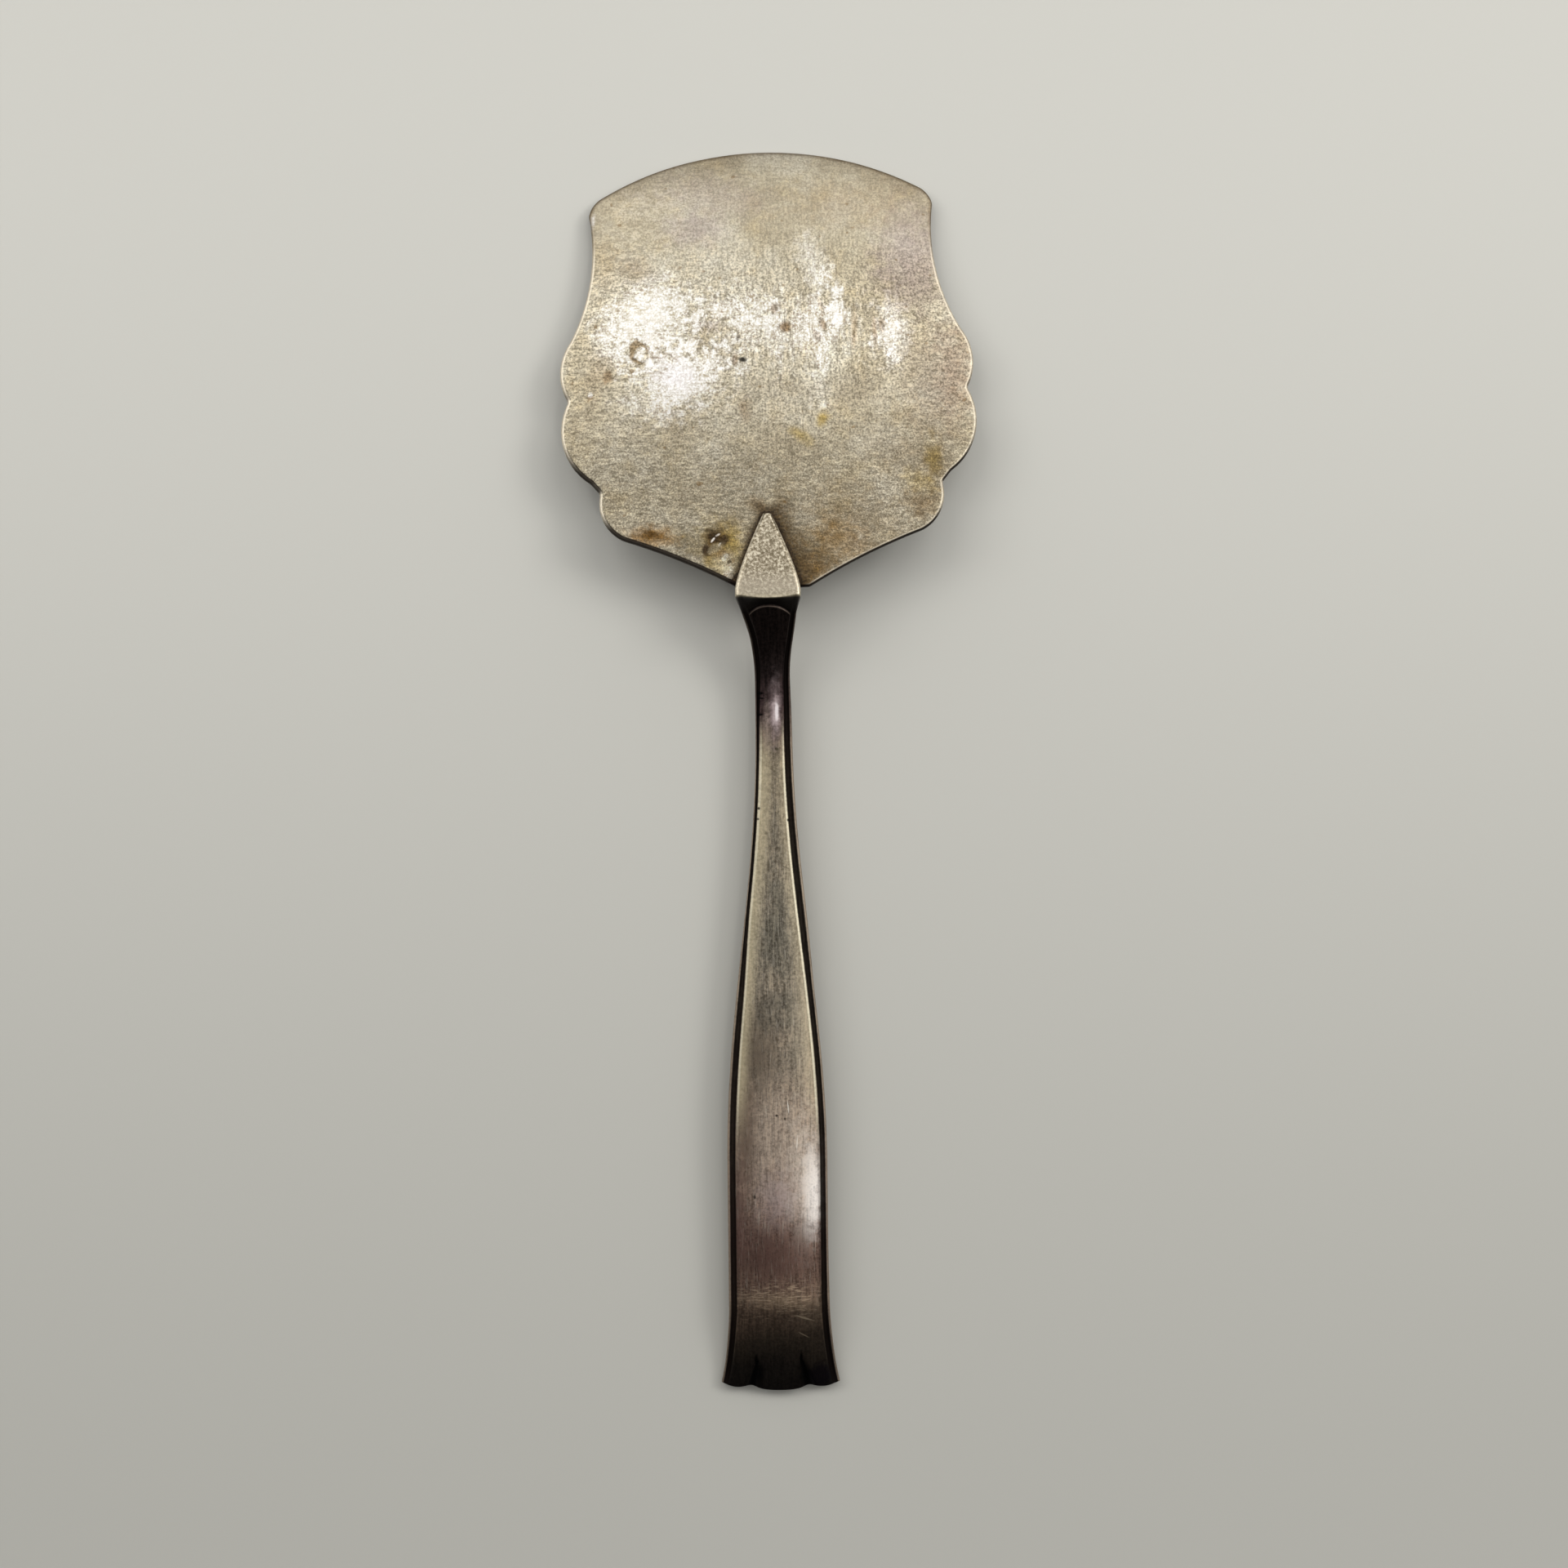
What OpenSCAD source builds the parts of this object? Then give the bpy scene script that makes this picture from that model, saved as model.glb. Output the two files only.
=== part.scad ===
// Serving spatula: a dished, scalloped blade soldered under the pointed tongue of a forged handle.
// It lies back up on its front edge and the end of the handle. +Y runs to the front of the blade,
// +Z is up and the table is z = 0. The pieces are drawn about the heel and tilted at the end.

/* [Main sizes] */
// Length of the blade from the ridge of the heel to the middle of the front edge
blade_length = 77; // [62:0.1:90]
// Width of the blade across its first lobes
blade_width = 69.5; // [58:0.5:80]
// Length of the handle behind the ridge of the heel
handle_length = 132.2; // [112:0.5:156]
// Width of the grip
grip_width = 16.7; // [13:0.1:21]
// Width of the narrowest part of the neck
neck_width = 5.6; // [4.5:0.1:7.5]
// Thickness of the blade
blade_t = 1.3; // [0.9:0.1:2]

/* [Dish of the blade] */
// Radius of the crown across the blade
crown_r = 260; // [160:10:500]
// Radius of the long arch from the heel to the front lip
arch_r = 800; // [400:50:2000]
// Radius of the front lip, which turns down more sharply
lip_r = 48; // [30:1:90]
// Length of the front lip, as a share of the blade
lip_share = 0.12; // [0.06:0.01:0.16]

/* [Blade outline, places as shares of its length] */
// End of the tail, where the third lobe starts
lobe_3_place = 0.1365; // [0.11:0.0005:0.17]
// Second notch, at the front end of the third lobe
notch_2_place = 0.2414; // [0.21:0.0001:0.26]
// Start of the second lobe
lobe_2_place = 0.267; // [0.25:0.001:0.3]
// First notch, at the front end of the second lobe
notch_1_place = 0.451; // [0.4:0.001:0.5]
// Back end of the hollow flank
flank_place = 0.585; // [0.54:0.001:0.63]
// Back end of the rounded corner
corner_place = 0.888; // [0.85:0.001:0.9]
// Front end of the rounded corner
front_place = 0.907; // [0.9:0.001:0.94]

/* [Blade outline, widths as shares of its width] */
// Width across the back ends of the third lobes
lobe_3_breadth = 0.714; // [0.64:0.001:0.78]
// Width across the second notches
notch_2_breadth = 0.822; // [0.79:0.001:0.85]
// Width across the back ends of the second lobes
lobe_2_breadth = 0.868; // [0.855:0.001:0.9]
// Width across the first notches
notch_1_breadth = 0.964; // [0.92:0.001:0.98]
// Width across the back ends of the flanks
flank_breadth = 0.946; // [0.9:0.001:0.97]
// Width across the corners
corner_breadth = 0.838; // [0.8:0.001:0.88]
// Width of the front edge between its corners
front_breadth = 0.812; // [0.76:0.001:0.83]

/* [Blade outline, bulges as shares of each stretch] */
// Hollow of the tail
tail_hollow = 0.023; // [0.005:0.001:0.06]
// Bulge of the third lobes
lobe_3_bulge = 0.18; // [0.1:0.01:0.26]
// Bulge of the second lobes
lobe_2_bulge = 0.193; // [0.1:0.001:0.25]
// Bulge of the first lobes
lobe_1_bulge = 0.15; // [0.08:0.01:0.2]
// Hollow of the flanks
flank_hollow = 0.084; // [0.03:0.001:0.12]
// Bulge of the rounded corners
corner_bulge = 0.17; // [0.05:0.01:0.25]

/* [Setting of the blade] */
// Turn of the blade about the heel, as it was soldered
blade_skew = 1.6; // [0:0.1:4]
// Sideways shift of the blade at the heel
blade_shift = 0.7; // [0:0.05:2]
// Distance from the ridge of the heel to the rear edge of the blade
tail_setback = 1.5; // [1.1:0.1:2.4]
// How much wider the tail is than the heel it meets
tail_overhang = 0.7; // [0.2:0.1:2]
// Thickness of the solder film under the tongue
solder_film = 0.05; // [0.02:0.01:0.1]
// Gap behind the rear edge of the blade
tail_gap = 0.25; // [0.2:0.05:0.4]

/* [Tongue] */
// Length of the tongue, as a share of the blade
tongue_share = 0.18; // [0.14:0.01:0.24]
// Width of the tongue and of the heel beside it
heel_width = 10.7; // [8:0.1:13]
// How far the tongue and the heel lie to the left of the handle
heel_shift = 0.5; // [0:0.05:1]
// Fullness of the sides of the tongue, where 1 is a plain triangle
tongue_fullness = 1.25; // [1:0.05:2]
// Width of the blunt tip of the tongue
tip_width = 1.2; // [0.6:0.1:2]
// Thickness of the tongue at the ridge
tongue_t = 2; // [1.4:0.1:3]
// Thickness of the tongue at its tip
tip_t = 0.8; // [0.4:0.1:1.3]
// Softened edge of the tongue
tongue_edge = 0.35; // [0.15:0.05:0.5]
// How far the ridge bows towards the handle
ridge_bow = 0.5; // [0:0.05:0.9]

/* [Handle outline, as shares] */
// Width of the flared end, as a share of the grip
end_breadth = 1.168; // [1.05:0.001:1.3]
// Stretch over which the heel narrows into the neck, as a share of the handle
heel_flare_share = 0.1; // [0.08:0.001:0.14]
// Where the neck starts to widen, as a share of the handle
swell_start_share = 0.16; // [0.12:0.01:0.22]
// Where the grip has its full width, as a share of the handle
swell_end_share = 0.709; // [0.58:0.001:0.8]
// Stretch over which the end flares, as a share of the handle
end_flare_share = 0.104; // [0.08:0.001:0.13]

/* [Handle side view] */
// Slope of the neck just behind the ridge, in degrees
neck_slope = 42; // [32:1:50]
// Slope of the shank, in degrees
shank_slope = 5.3; // [3:0.1:8]
// Slope of the grip at its lower end, in degrees
grip_slope = 7; // [5:0.1:10]
// Slope of the bent end, in degrees
end_slope = 18; // [12:0.5:24]
// Length of the curved neck, as a share of the handle
neck_share = 0.134; // [0.11:0.001:0.17]
// Length of the shank, as a share of the handle
shank_share = 0.328; // [0.25:0.001:0.37]
// Length of the grip, as a share of the handle
grip_share = 0.407; // [0.33:0.001:0.42]
// Length of the bend below the grip, as a share of the handle
bend_share = 0.022; // [0.015:0.001:0.03]
// Thickness of the handle at the heel
heel_t = 3; // [2.4:0.1:4]
// Thickness of the neck
neck_t = 4.2; // [3:0.1:5.5]
// Thickness of the grip
grip_t = 2.6; // [2:0.1:3.6]
// Thickness of the end
end_t = 1.9; // [1.6:0.1:2.8]

/* [Panel and borders] */
// Height of the ridge above the start of the neck
ridge_step = 2.2; // [1.4:0.1:3]
// How high the back panel stands above its border
panel_lift = 0.65; // [0.3:0.05:0.9]
// Crown of the back panel across the grip
panel_crown = 0.35; // [0.1:0.05:0.6]
// Width of the border beside the neck
neck_border = 0.95; // [0.6:0.05:1.3]
// Width of the border beside the grip
grip_border = 1.25; // [0.8:0.05:2]
// Width of the border at the flared end
end_border = 0.9; // [0.5:0.05:1.4]
// Distance from the ridge to the arched end of the panel
panel_start = 1.4; // [1.2:0.1:2.4]
// How far the arched end of the panel bows towards the ridge
panel_arch = 1.3; // [0.4:0.1:2]
// Height of the thread along the edges of the front
thread_height = 0.25; // [0.1:0.05:0.4]

/* [Lobed end] */
// Length of the two grooves between the lobes
groove_length = 5.5; // [3.5:0.5:8]
// Depth of the grooves at the end
groove_depth = 0.6; // [0.2:0.05:0.8]
// Distance between the grooves at their points, as a share of the end
groove_points_share = 0.38; // [0.3:0.01:0.44]
// Distance between the notches, as a share of the end
notch_share = 0.497; // [0.45:0.001:0.56]
// Width of a groove where it reaches the end
groove_width = 2.2; // [1:0.1:3]
// How far the notches are cut in from the middle lobe
notch_cut = 1; // [0.5:0.05:1.6]
// How far the side lobes stop short of the middle lobe
side_lobe_cut = 0.6; // [0.2:0.05:0.9]
// How far the corners stop short of the middle lobe
corner_cut = 1.5; // [0.8:0.1:2.4]

/* [Hidden] */
BLADE_COLOUR = [0.70, 0.66, 0.58];
HANDLE_COLOUR = [0.48, 0.44, 0.40];

// Steps along each arc of the blade outline, along the arch and along the lip
outline_steps = 10;
arch_steps = 12;
lip_steps = 8;
// Rows on the tongue and on each stretch of the handle
tongue_rows = 12;
arch_rows = 5;
neck_rows = 9;
shank_rows = 14;
grip_rows = 14;
bend_rows = 4;
end_rows = 4;
lobe_rows = 8;

function mix(a, b, t) = a + (b - a) * t;
function clamp(t) = min(1, max(0, t));
function ease(t) = (1 - cos(180 * clamp(t))) / 2;
function spread(a, b, n) = [for (i = [1:n]) mix(a, b, i / n)];
function turned(p, a) = [p[0] * cos(a) - p[1] * sin(a), p[0] * sin(a) + p[1] * cos(a)];

// Points of an arc from a to b that bulges to the left by a share of its chord, without its start
function arc_points(a, b, bulge) =
    let (chord = norm(b - a), along = (b - a) / chord, left = [-along[1], along[0]],
         rise = bulge * chord)
    bulge == 0 ? [b] :
    let (r = (chord * chord / 4 + rise * rise) / (2 * rise),
         half = asin(chord / 2 / r),
         centre = (a + b) / 2 + left * (rise - r))
    [for (i = [1:outline_steps])
        let (t = half * (2 * i / outline_steps - 1))
        centre + r * (along * sin(t) + left * cos(t))];

// Sizes that follow from the main ones
lip_length = lip_share * blade_length;
tongue_length = tongue_share * blade_length;
tail_width = heel_width + tail_overhang;
end_width = end_breadth * grip_width;
heel_flare = heel_flare_share * handle_length;
swell_start = swell_start_share * handle_length;
swell_end = swell_end_share * handle_length;
end_flare = end_flare_share * handle_length;
neck_run = neck_share * handle_length;
shank_run = shank_share * handle_length;
grip_run = grip_share * handle_length;
bend_run = bend_share * handle_length;
groove_points = groove_points_share * end_width;
notch_spacing = notch_share * end_width;

// Marks up the right half: place and width as shares, and bulge of the stretch up to there
half_shares = [
    [lobe_3_place, lobe_3_breadth, tail_hollow],
    [notch_2_place, notch_2_breadth, -lobe_3_bulge],
    [lobe_2_place, lobe_2_breadth, 0],
    [notch_1_place, notch_1_breadth, -lobe_2_bulge],
    [flank_place, flank_breadth, -lobe_1_bulge],
    [corner_place, corner_breadth, flank_hollow],
    [front_place, front_breadth, -corner_bulge]
];
half_marks = [
    [tail_width / 2, tail_setback, 0],
    for (m = half_shares) [m[1] * blade_width / 2, m[0] * blade_length, m[2]]
];

half_outline = [
    [half_marks[0][0], half_marks[0][1]],
    for (i = [1:len(half_marks) - 1])
        let (a = half_marks[i - 1], b = half_marks[i])
        each arc_points([a[0], a[1]], [b[0], b[1]], b[2])
];

front_corner = half_marks[len(half_marks) - 1];
front_bow = (blade_length - front_corner[1]) / (2 * front_corner[0]);
front_edge = arc_points([front_corner[0], front_corner[1]], [-front_corner[0], front_corner[1]],
                        -front_bow);

blade_outline = [
    each half_outline,
    for (i = [0:len(front_edge) - 2]) front_edge[i],
    for (i = [len(half_outline) - 1:-1:0]) [-half_outline[i][0], half_outline[i][1]]
];

// Height of the back of the sheet along its middle line
lip_y = blade_length - lip_length;
lip_slope = asin(lip_y / arch_r);
function arch_height(y) = sqrt(arch_r * arch_r - y * y) - arch_r;
function lip_height(y) =
    let (u = y - lip_y + lip_r * sin(lip_slope))
    arch_height(lip_y) + sqrt(lip_r * lip_r - u * u) - lip_r * cos(lip_slope);
function middle_height(y) = y < lip_y ? arch_height(y) : lip_height(y);

// Height of the back at a point of the blade, and of a surface some depth below it
function sheet_height(p, depth = 0) =
    let (r = crown_r + middle_height(p[1]) - depth)
    sqrt(r * r - p[0] * p[0]) - crown_r;

// Between the frame of the blade and that of the handle
function set_in(p) = turned(p, blade_skew) + [blade_shift, 0];
function seat_height(p) = sheet_height(turned(p - [blade_shift, 0], -blade_skew));

// The dished sheet before it is cut to its outline: a thin band turned about a far axis
module dished_sheet() {
    overrun = 1;
    marks = [
        for (i = [0:arch_steps]) mix(-overrun, lip_y, i / arch_steps),
        each spread(lip_y, blade_length + overrun, lip_steps)
    ];
    band = [
        for (y = marks) [crown_r + middle_height(y), -y],
        for (i = [len(marks) - 1:-1:0]) [crown_r + middle_height(marks[i]) - blade_t, -marks[i]]
    ];
    translate([0, 0, -crown_r]) rotate([90, 0, 0]) rotate_extrude($fn = 240) polygon(band);
}

module blade_at_heel() {
    drop = 30;
    translate([blade_shift, 0, 0]) rotate([0, 0, blade_skew])
        intersection() {
            translate([0, 0, -drop]) linear_extrude(drop + 1) polygon(blade_outline);
            dished_sheet();
        }
}

// The middle line of the back of the handle: a chain of arcs, each with its length and last slope
neck_end = panel_start + neck_run;
shank_end = neck_end + shank_run;
grip_end = shank_end + grip_run;
bend_end = grip_end + bend_run;
end_run = handle_length - bend_end;
line_runs = [
    [neck_run, shank_slope],
    [shank_run, shank_slope],
    [grip_run, grip_slope],
    [bend_run, end_slope],
    [end_run, end_slope]
];

// Slope and fall at a distance along an arc that is run long and turns from slope a to slope b
function arc_slope(d, run, a, b) = asin(min(0.98, mix(sin(a), sin(b), d / run)));
function arc_fall(d, run, a, b) =
    a == b ? d * tan(a)
           : run / (sin(b) - sin(a)) * (cos(a) - cos(arc_slope(d, run, a, b)));

// Slope and fall of the chain at a distance behind the start of the panel
function line_at(d, i = 0, a = neck_slope, fallen = 0) =
    let (run = line_runs[i][0], b = line_runs[i][1])
    d <= run || i == len(line_runs) - 1
        ? [arc_slope(d, run, a, b), fallen + arc_fall(d, run, a, b)]
        : line_at(d - run, i + 1, b, fallen + arc_fall(run, run, a, b));

function line_slope(d) = line_at(d - panel_start)[0];
function line_height(d) = tongue_t - ridge_step - line_at(d - panel_start)[1];

// Widths and thickness of the handle at a distance behind the ridge
function swell(d) = ease((d - swell_start) / (swell_end - swell_start));
function flare(d) = clamp(1 - (handle_length - d) / end_flare);
function half_width(d) =
    mix(neck_width, grip_width, swell(d)) / 2
    + (heel_width - neck_width) / 2 * pow(clamp(1 - d / heel_flare), 2)
    + (end_width - grip_width) / 2 * pow(flare(d), 1.5);
function border(d) = mix(mix(neck_border, grip_border, swell(d)), end_border, flare(d));
function thickness(d) =
    mix(mix(mix(heel_t, neck_t, ease(d / neck_run)), grip_t, swell(d)), end_t, flare(d));

// Section points from the middle outwards: shares of the panel, then shares of the border, each
// of these with its depth below the panel as a share of the lift
panel_shares = [0, 0.14, 0.27, 0.38, 0.46, 0.56, 0.7, 0.86, 1];
border_shares = [0.16, 0.5, 0.64, 0.9, 1];
border_drops = [1, 1.05, 0.78, 0.76, 1.1];
edge_drop = 0.15;
panel_last = len(panel_shares) - 1;
side_last = panel_last + len(border_shares);

function share(k) = k <= panel_last ? panel_shares[k] : 1;
function across(k, half, edge) =
    k <= panel_last ? panel_shares[k] * (half - edge)
                    : half - edge * (1 - border_shares[k - panel_last - 1]);
function border_drop(k) =
    panel_lift * (k < panel_last ? 0 : k == panel_last ? edge_drop : border_drops[k - panel_last - 1]);

// The back of the tongue, at a distance y ahead of the ridge
shoulder_share = 0.09;
tongue_shoulder = shoulder_share * tongue_length;
function tongue_half(y) =
    let (t = clamp((y - tongue_shoulder) / (tongue_length - tongue_shoulder)))
    mix(heel_width / 2, tip_width / 2, pow(t, tongue_fullness));
function tongue_height(y, x) =
    let (half = tongue_half(y), rim = min(half / 2, 2 * tongue_edge),
         inset = clamp((x - half + rim) / rim))
    mix(tongue_t, tip_t, y / tongue_length) - tongue_edge * inset * inset;
function tongue_back(y, k) =
    let (half = tongue_half(y), x = across(k, half, neck_border * half * 2 / heel_width))
    [x, y, tongue_height(y, x)];

// The ridge, with its corners taken down, and the foot of the steep face behind it
ridge_corner = 0.8;
foot_gap = 0.35;
function ridge_back(k) =
    let (x = across(k, heel_width / 2, neck_border), s = share(k))
    [x, -ridge_bow * (1 - s * s), tongue_height(0, x) - (k == side_last ? ridge_corner : 0)];
function foot_back(k) =
    let (p = panel_back(panel_start, k, panel_arch))
    [p[0], p[1] + foot_gap, line_height(-p[1]) - panel_lift * (k < side_last ? 1 : 1.1)];

// The back of the handle at a distance d behind the ridge, where the row may bow by an arch
function crown(d, s) = panel_crown * half_width(d) * 2 / grip_width * s * s;
function panel_back(d, k, arch = 0) =
    let (far = d + arch * share(k) * share(k))
    [across(k, half_width(far), border(far)), -far,
     line_height(far) - crown(far, share(k)) - border_drop(k)];

// The lobed end: how far it is cut in, and the grooves pressed between the lobes
groove_top = handle_length - groove_length;
groove_point = 0.3;
groove_place = 4;
end_edge = 0.2;
lobe_shares = [0, 0.45, 0.8, 1];
function end_cut(x) =
    let (notch = notch_spacing / 2, s = (x - notch) / (end_width / 2 - notch))
    x < notch ? notch_cut * pow(x / notch, 3)
              : mix(side_lobe_cut, s < 0.5 ? notch_cut : corner_cut, pow(2 * s - 1, 2));
function lobe_x(d, k, t) =
    let (line = mix(groove_points, notch_spacing, t) / 2,
         flank = mix(groove_point, groove_width, t) / 2,
         panel = half_width(d) - border(d))
    k < groove_place ? lobe_shares[k] * (line - flank) :
    k == groove_place ? line :
    k <= panel_last ? mix(line + flank, panel, (k - groove_place - 1) / (panel_last - groove_place - 1)) :
    across(k, half_width(d), border(d));
function lobe_back(d, k) =
    let (t = (d - groove_top) / groove_length, x = lobe_x(d, k, t), far = d - t * end_cut(x),
         s = clamp(x / (half_width(d) - border(d))), groove = k == groove_place ? groove_depth * t : 0,
         edge = mix(border_drop(k), k > panel_last ? end_edge : 0, t * t))
    [x, -far, line_height(far) - crown(d, s) - edge - groove];

// The front of the handle, rounded off to the sides and threaded along the edges
round_neck = 1.1;
round_grip = 0.35;
thread_place = 0.84;
thread_half = 0.09;
function front_rise(d, x) =
    let (u = x / half_width(d), thread = abs(u - thread_place) < thread_half ? thread_height : 0)
    mix(round_neck, round_grip, swell(d)) * pow(u, 4) - thread * swell(d);
function front_height(d, x) = line_height(d) - thickness(d) / cos(line_slope(d)) + front_rise(d, x);

// At the heel the front starts flush with the front of the blade
step_y = tail_setback - tail_width / 2 * sin(blade_skew) - tail_gap;
step_face = 0.2;
heel_blend = 7;
function heel_front(d, x) = mix(-blade_t, front_height(d, x), ease((d + step_y) / heel_blend));

// Half rows of the back, from the tip of the tongue to the end of the handle
arch_fade = 6;
arch_end = panel_start + arch_fade;
ridge_rise = step_y - step_face;
tongue_places = [tongue_length, each spread(tongue_length, step_y, tongue_rows)];
back_rows = [
    for (y = [each tongue_places, ridge_rise, ridge_rise / 2])
        [for (k = [0:side_last]) tongue_back(y, k)],
    [for (k = [0:side_last]) ridge_back(k)],
    [for (k = [0:side_last]) foot_back(k)],
    for (t = [0, each spread(0, 1, arch_rows)])
        [for (k = [0:side_last]) panel_back(mix(panel_start, arch_end, t), k, panel_arch * (1 - t))],
    for (d = [each spread(arch_end, neck_end, neck_rows), each spread(neck_end, shank_end, shank_rows),
              each spread(shank_end, grip_end, grip_rows), each spread(grip_end, bend_end, bend_rows),
              each spread(bend_end, groove_top, end_rows)])
        [for (k = [0:side_last]) panel_back(d, k)],
    for (d = spread(groove_top, handle_length, lobe_rows))
        [for (k = [0:side_last]) lobe_back(d, k)]
];

// The heel leans to the left, and the handle runs true again half way along the flare
function leaning(x, y) = x - heel_shift * (1 - ease(-2 * y / heel_flare));

// The front lies under the back: on the blade beneath the tongue, and free behind it
function front_point(i, p) =
    [p[0], p[1], i < len(tongue_places) ? seat_height([leaning(p[0], p[1]), p[1]]) + solder_film
                                        : heel_front(-p[1], p[0])];

// Rings of points round the handle: the back from left to right, then the front from right to left
back_full = [
    for (row = back_rows)
        [for (k = [side_last:-1:1]) [-row[k][0], row[k][1], row[k][2]], each row]
];
half_ring = 2 * side_last + 1;
ring_size = 2 * half_ring;
ring_last = len(back_full) - 1;
rings = [
    for (i = [0:ring_last]) each [
        each back_full[i],
        for (j = [half_ring - 1:-1:0]) front_point(i, back_full[i][j])
    ]
];
handle_points = [for (p = rings) [leaning(p[0], p[1]), p[1], p[2]]];

function at(i, j) = i * ring_size + j % ring_size;
function pair(a, b, c, d) = [[a, b, c], [a, c, d]];
function opposite(j) = ring_size - 1 - j;
handle_faces = [
    for (i = [0:ring_last - 1], j = [0:ring_size - 1])
        each pair(at(i, j), at(i, j + 1), at(i + 1, j + 1), at(i + 1, j)),
    for (j = [0:half_ring - 2])
        each pair(at(0, j + 1), at(0, j), at(0, opposite(j)), at(0, opposite(j + 1))),
    for (j = [0:half_ring - 2])
        each pair(at(ring_last, j), at(ring_last, j + 1),
                  at(ring_last, opposite(j + 1)), at(ring_last, opposite(j)))
];

// Tilt and shift that set the front edge and the end of the handle on the table
blade_points = [
    for (p = blade_outline, depth = [0, blade_t])
        let (q = set_in(p)) [q[0], q[1], sheet_height(p, depth)]
];
function tipped(p, t) = [p[0], p[1] * cos(t) - p[2] * sin(t), p[1] * sin(t) + p[2] * cos(t)];
function lowest(points, t) =
    let (heights = [for (p = points) tipped(p, t)[2]], low = min(heights))
    [for (i = [0:len(points) - 1]) if (heights[i] == low) points[i]][0];
function level(t = shank_slope, tries = 4) =
    let (a = lowest(blade_points, t), b = lowest(handle_points, t))
    tries == 0 ? t : level(atan2(b[2] - a[2], a[1] - b[1]), tries - 1);
tilt = level();
set_down = [for (p = concat(blade_points, handle_points)) tipped(p, tilt)];
low = [for (axis = [0:2]) min([for (p = set_down) p[axis]])];
high = [for (axis = [0:2]) max([for (p = set_down) p[axis]])];

module on_the_table() {
    translate([-(low[0] + high[0]) / 2, -(low[1] + high[1]) / 2, -low[2]])
        rotate([tilt, 0, 0]) children();
}

module blade() {
    color(BLADE_COLOUR) on_the_table() blade_at_heel();
}

module handle() {
    color(HANDLE_COLOUR) on_the_table()
        polyhedron(points = handle_points, faces = handle_faces, convexity = 4);
}

blade();
handle();
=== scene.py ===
"""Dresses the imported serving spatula: a dished blade, and a forged handle soldered on its back.

Lengths are millimetres in the heel frame of the part (ridge of the heel at y = 0, blade along +Y,
back up) until a piece is set on the table, and metres in the row frame after that.
"""

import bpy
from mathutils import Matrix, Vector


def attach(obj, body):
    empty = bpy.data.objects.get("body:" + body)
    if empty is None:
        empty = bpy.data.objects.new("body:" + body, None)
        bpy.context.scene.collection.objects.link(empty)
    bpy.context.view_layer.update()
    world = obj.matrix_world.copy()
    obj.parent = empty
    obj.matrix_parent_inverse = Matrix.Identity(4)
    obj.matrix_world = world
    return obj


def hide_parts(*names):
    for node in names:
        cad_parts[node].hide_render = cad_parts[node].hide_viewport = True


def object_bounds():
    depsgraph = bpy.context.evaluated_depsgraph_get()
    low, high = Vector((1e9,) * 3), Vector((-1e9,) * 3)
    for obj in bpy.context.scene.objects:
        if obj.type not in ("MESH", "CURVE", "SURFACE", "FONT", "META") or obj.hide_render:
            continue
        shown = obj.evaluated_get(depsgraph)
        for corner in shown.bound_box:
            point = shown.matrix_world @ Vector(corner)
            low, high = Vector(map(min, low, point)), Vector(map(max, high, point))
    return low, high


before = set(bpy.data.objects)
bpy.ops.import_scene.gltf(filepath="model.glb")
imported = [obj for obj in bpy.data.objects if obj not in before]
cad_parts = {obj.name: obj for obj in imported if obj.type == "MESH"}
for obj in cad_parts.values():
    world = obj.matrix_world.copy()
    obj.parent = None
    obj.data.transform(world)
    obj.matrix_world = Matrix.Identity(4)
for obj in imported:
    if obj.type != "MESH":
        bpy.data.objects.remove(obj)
CAD_LOW, CAD_HIGH = [list(corner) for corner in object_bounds()]

import math

import bmesh
import bpy
import numpy as np
from mathutils import Vector
from mathutils.kdtree import KDTree

MM = 0.001
rad = math.radians
scene = bpy.context.scene

# Main sizes
BLADE_LENGTH = 77.0
BLADE_WIDTH = 69.5
HANDLE_LENGTH = 132.2
GRIP_WIDTH = 16.7
NECK_WIDTH = 5.6
BLADE_T = 1.3

# Dish of the blade
CROWN_R = 260.0
ARCH_R = 800.0
LIP_R = 48.0
LIP_LENGTH = 0.12 * BLADE_LENGTH

# Marks up the right half of the blade: name, place along its length, share of its width, and the
# bulge of the stretch that ends there, as a share of its chord
HALF_MARKS = (
    ("tail hollow", 0.1365, 0.714, 0.023),
    ("third lobe", 0.2414, 0.822, -0.18),
    ("second notch", 0.267, 0.868, 0.0),
    ("second lobe", 0.451, 0.964, -0.193),
    ("first lobe", 0.585, 0.946, -0.15),
    ("flank", 0.888, 0.838, 0.084),
    ("corner", 0.907, 0.812, -0.17),
)
# The last two as wear has left them: the front corners are rounded off and cut back
WORN_MARKS = HALF_MARKS[:-2] + (
    ("worn flank", 0.869, 0.838, 0.084),
    ("worn corner", 0.911, 0.766, -0.12),
)
BLADE_SKEW = rad(1.6)
BLADE_SHIFT = 0.7
TAIL_SETBACK = 1.5
TAIL_OVERHANG = 0.7
TAIL_GAP = 0.25
SOLDER_FILM = 0.05

# Tongue and heel
TONGUE_LENGTH = 0.18 * BLADE_LENGTH
HEEL_WIDTH = 10.7
HEEL_SHIFT = 0.5
TONGUE_FULLNESS = 1.25
TONGUE_SHOULDER = 0.09 * TONGUE_LENGTH
TIP_WIDTH = 1.2
TONGUE_T = 2.0
TIP_T = 0.8
TONGUE_EDGE = 0.35
RIDGE_BOW = 0.5
RIDGE_STEP = 2.2
RIDGE_CORNER = 0.8
FOOT_GAP = 0.35
RIDGE_WEAR = 0.01

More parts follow.
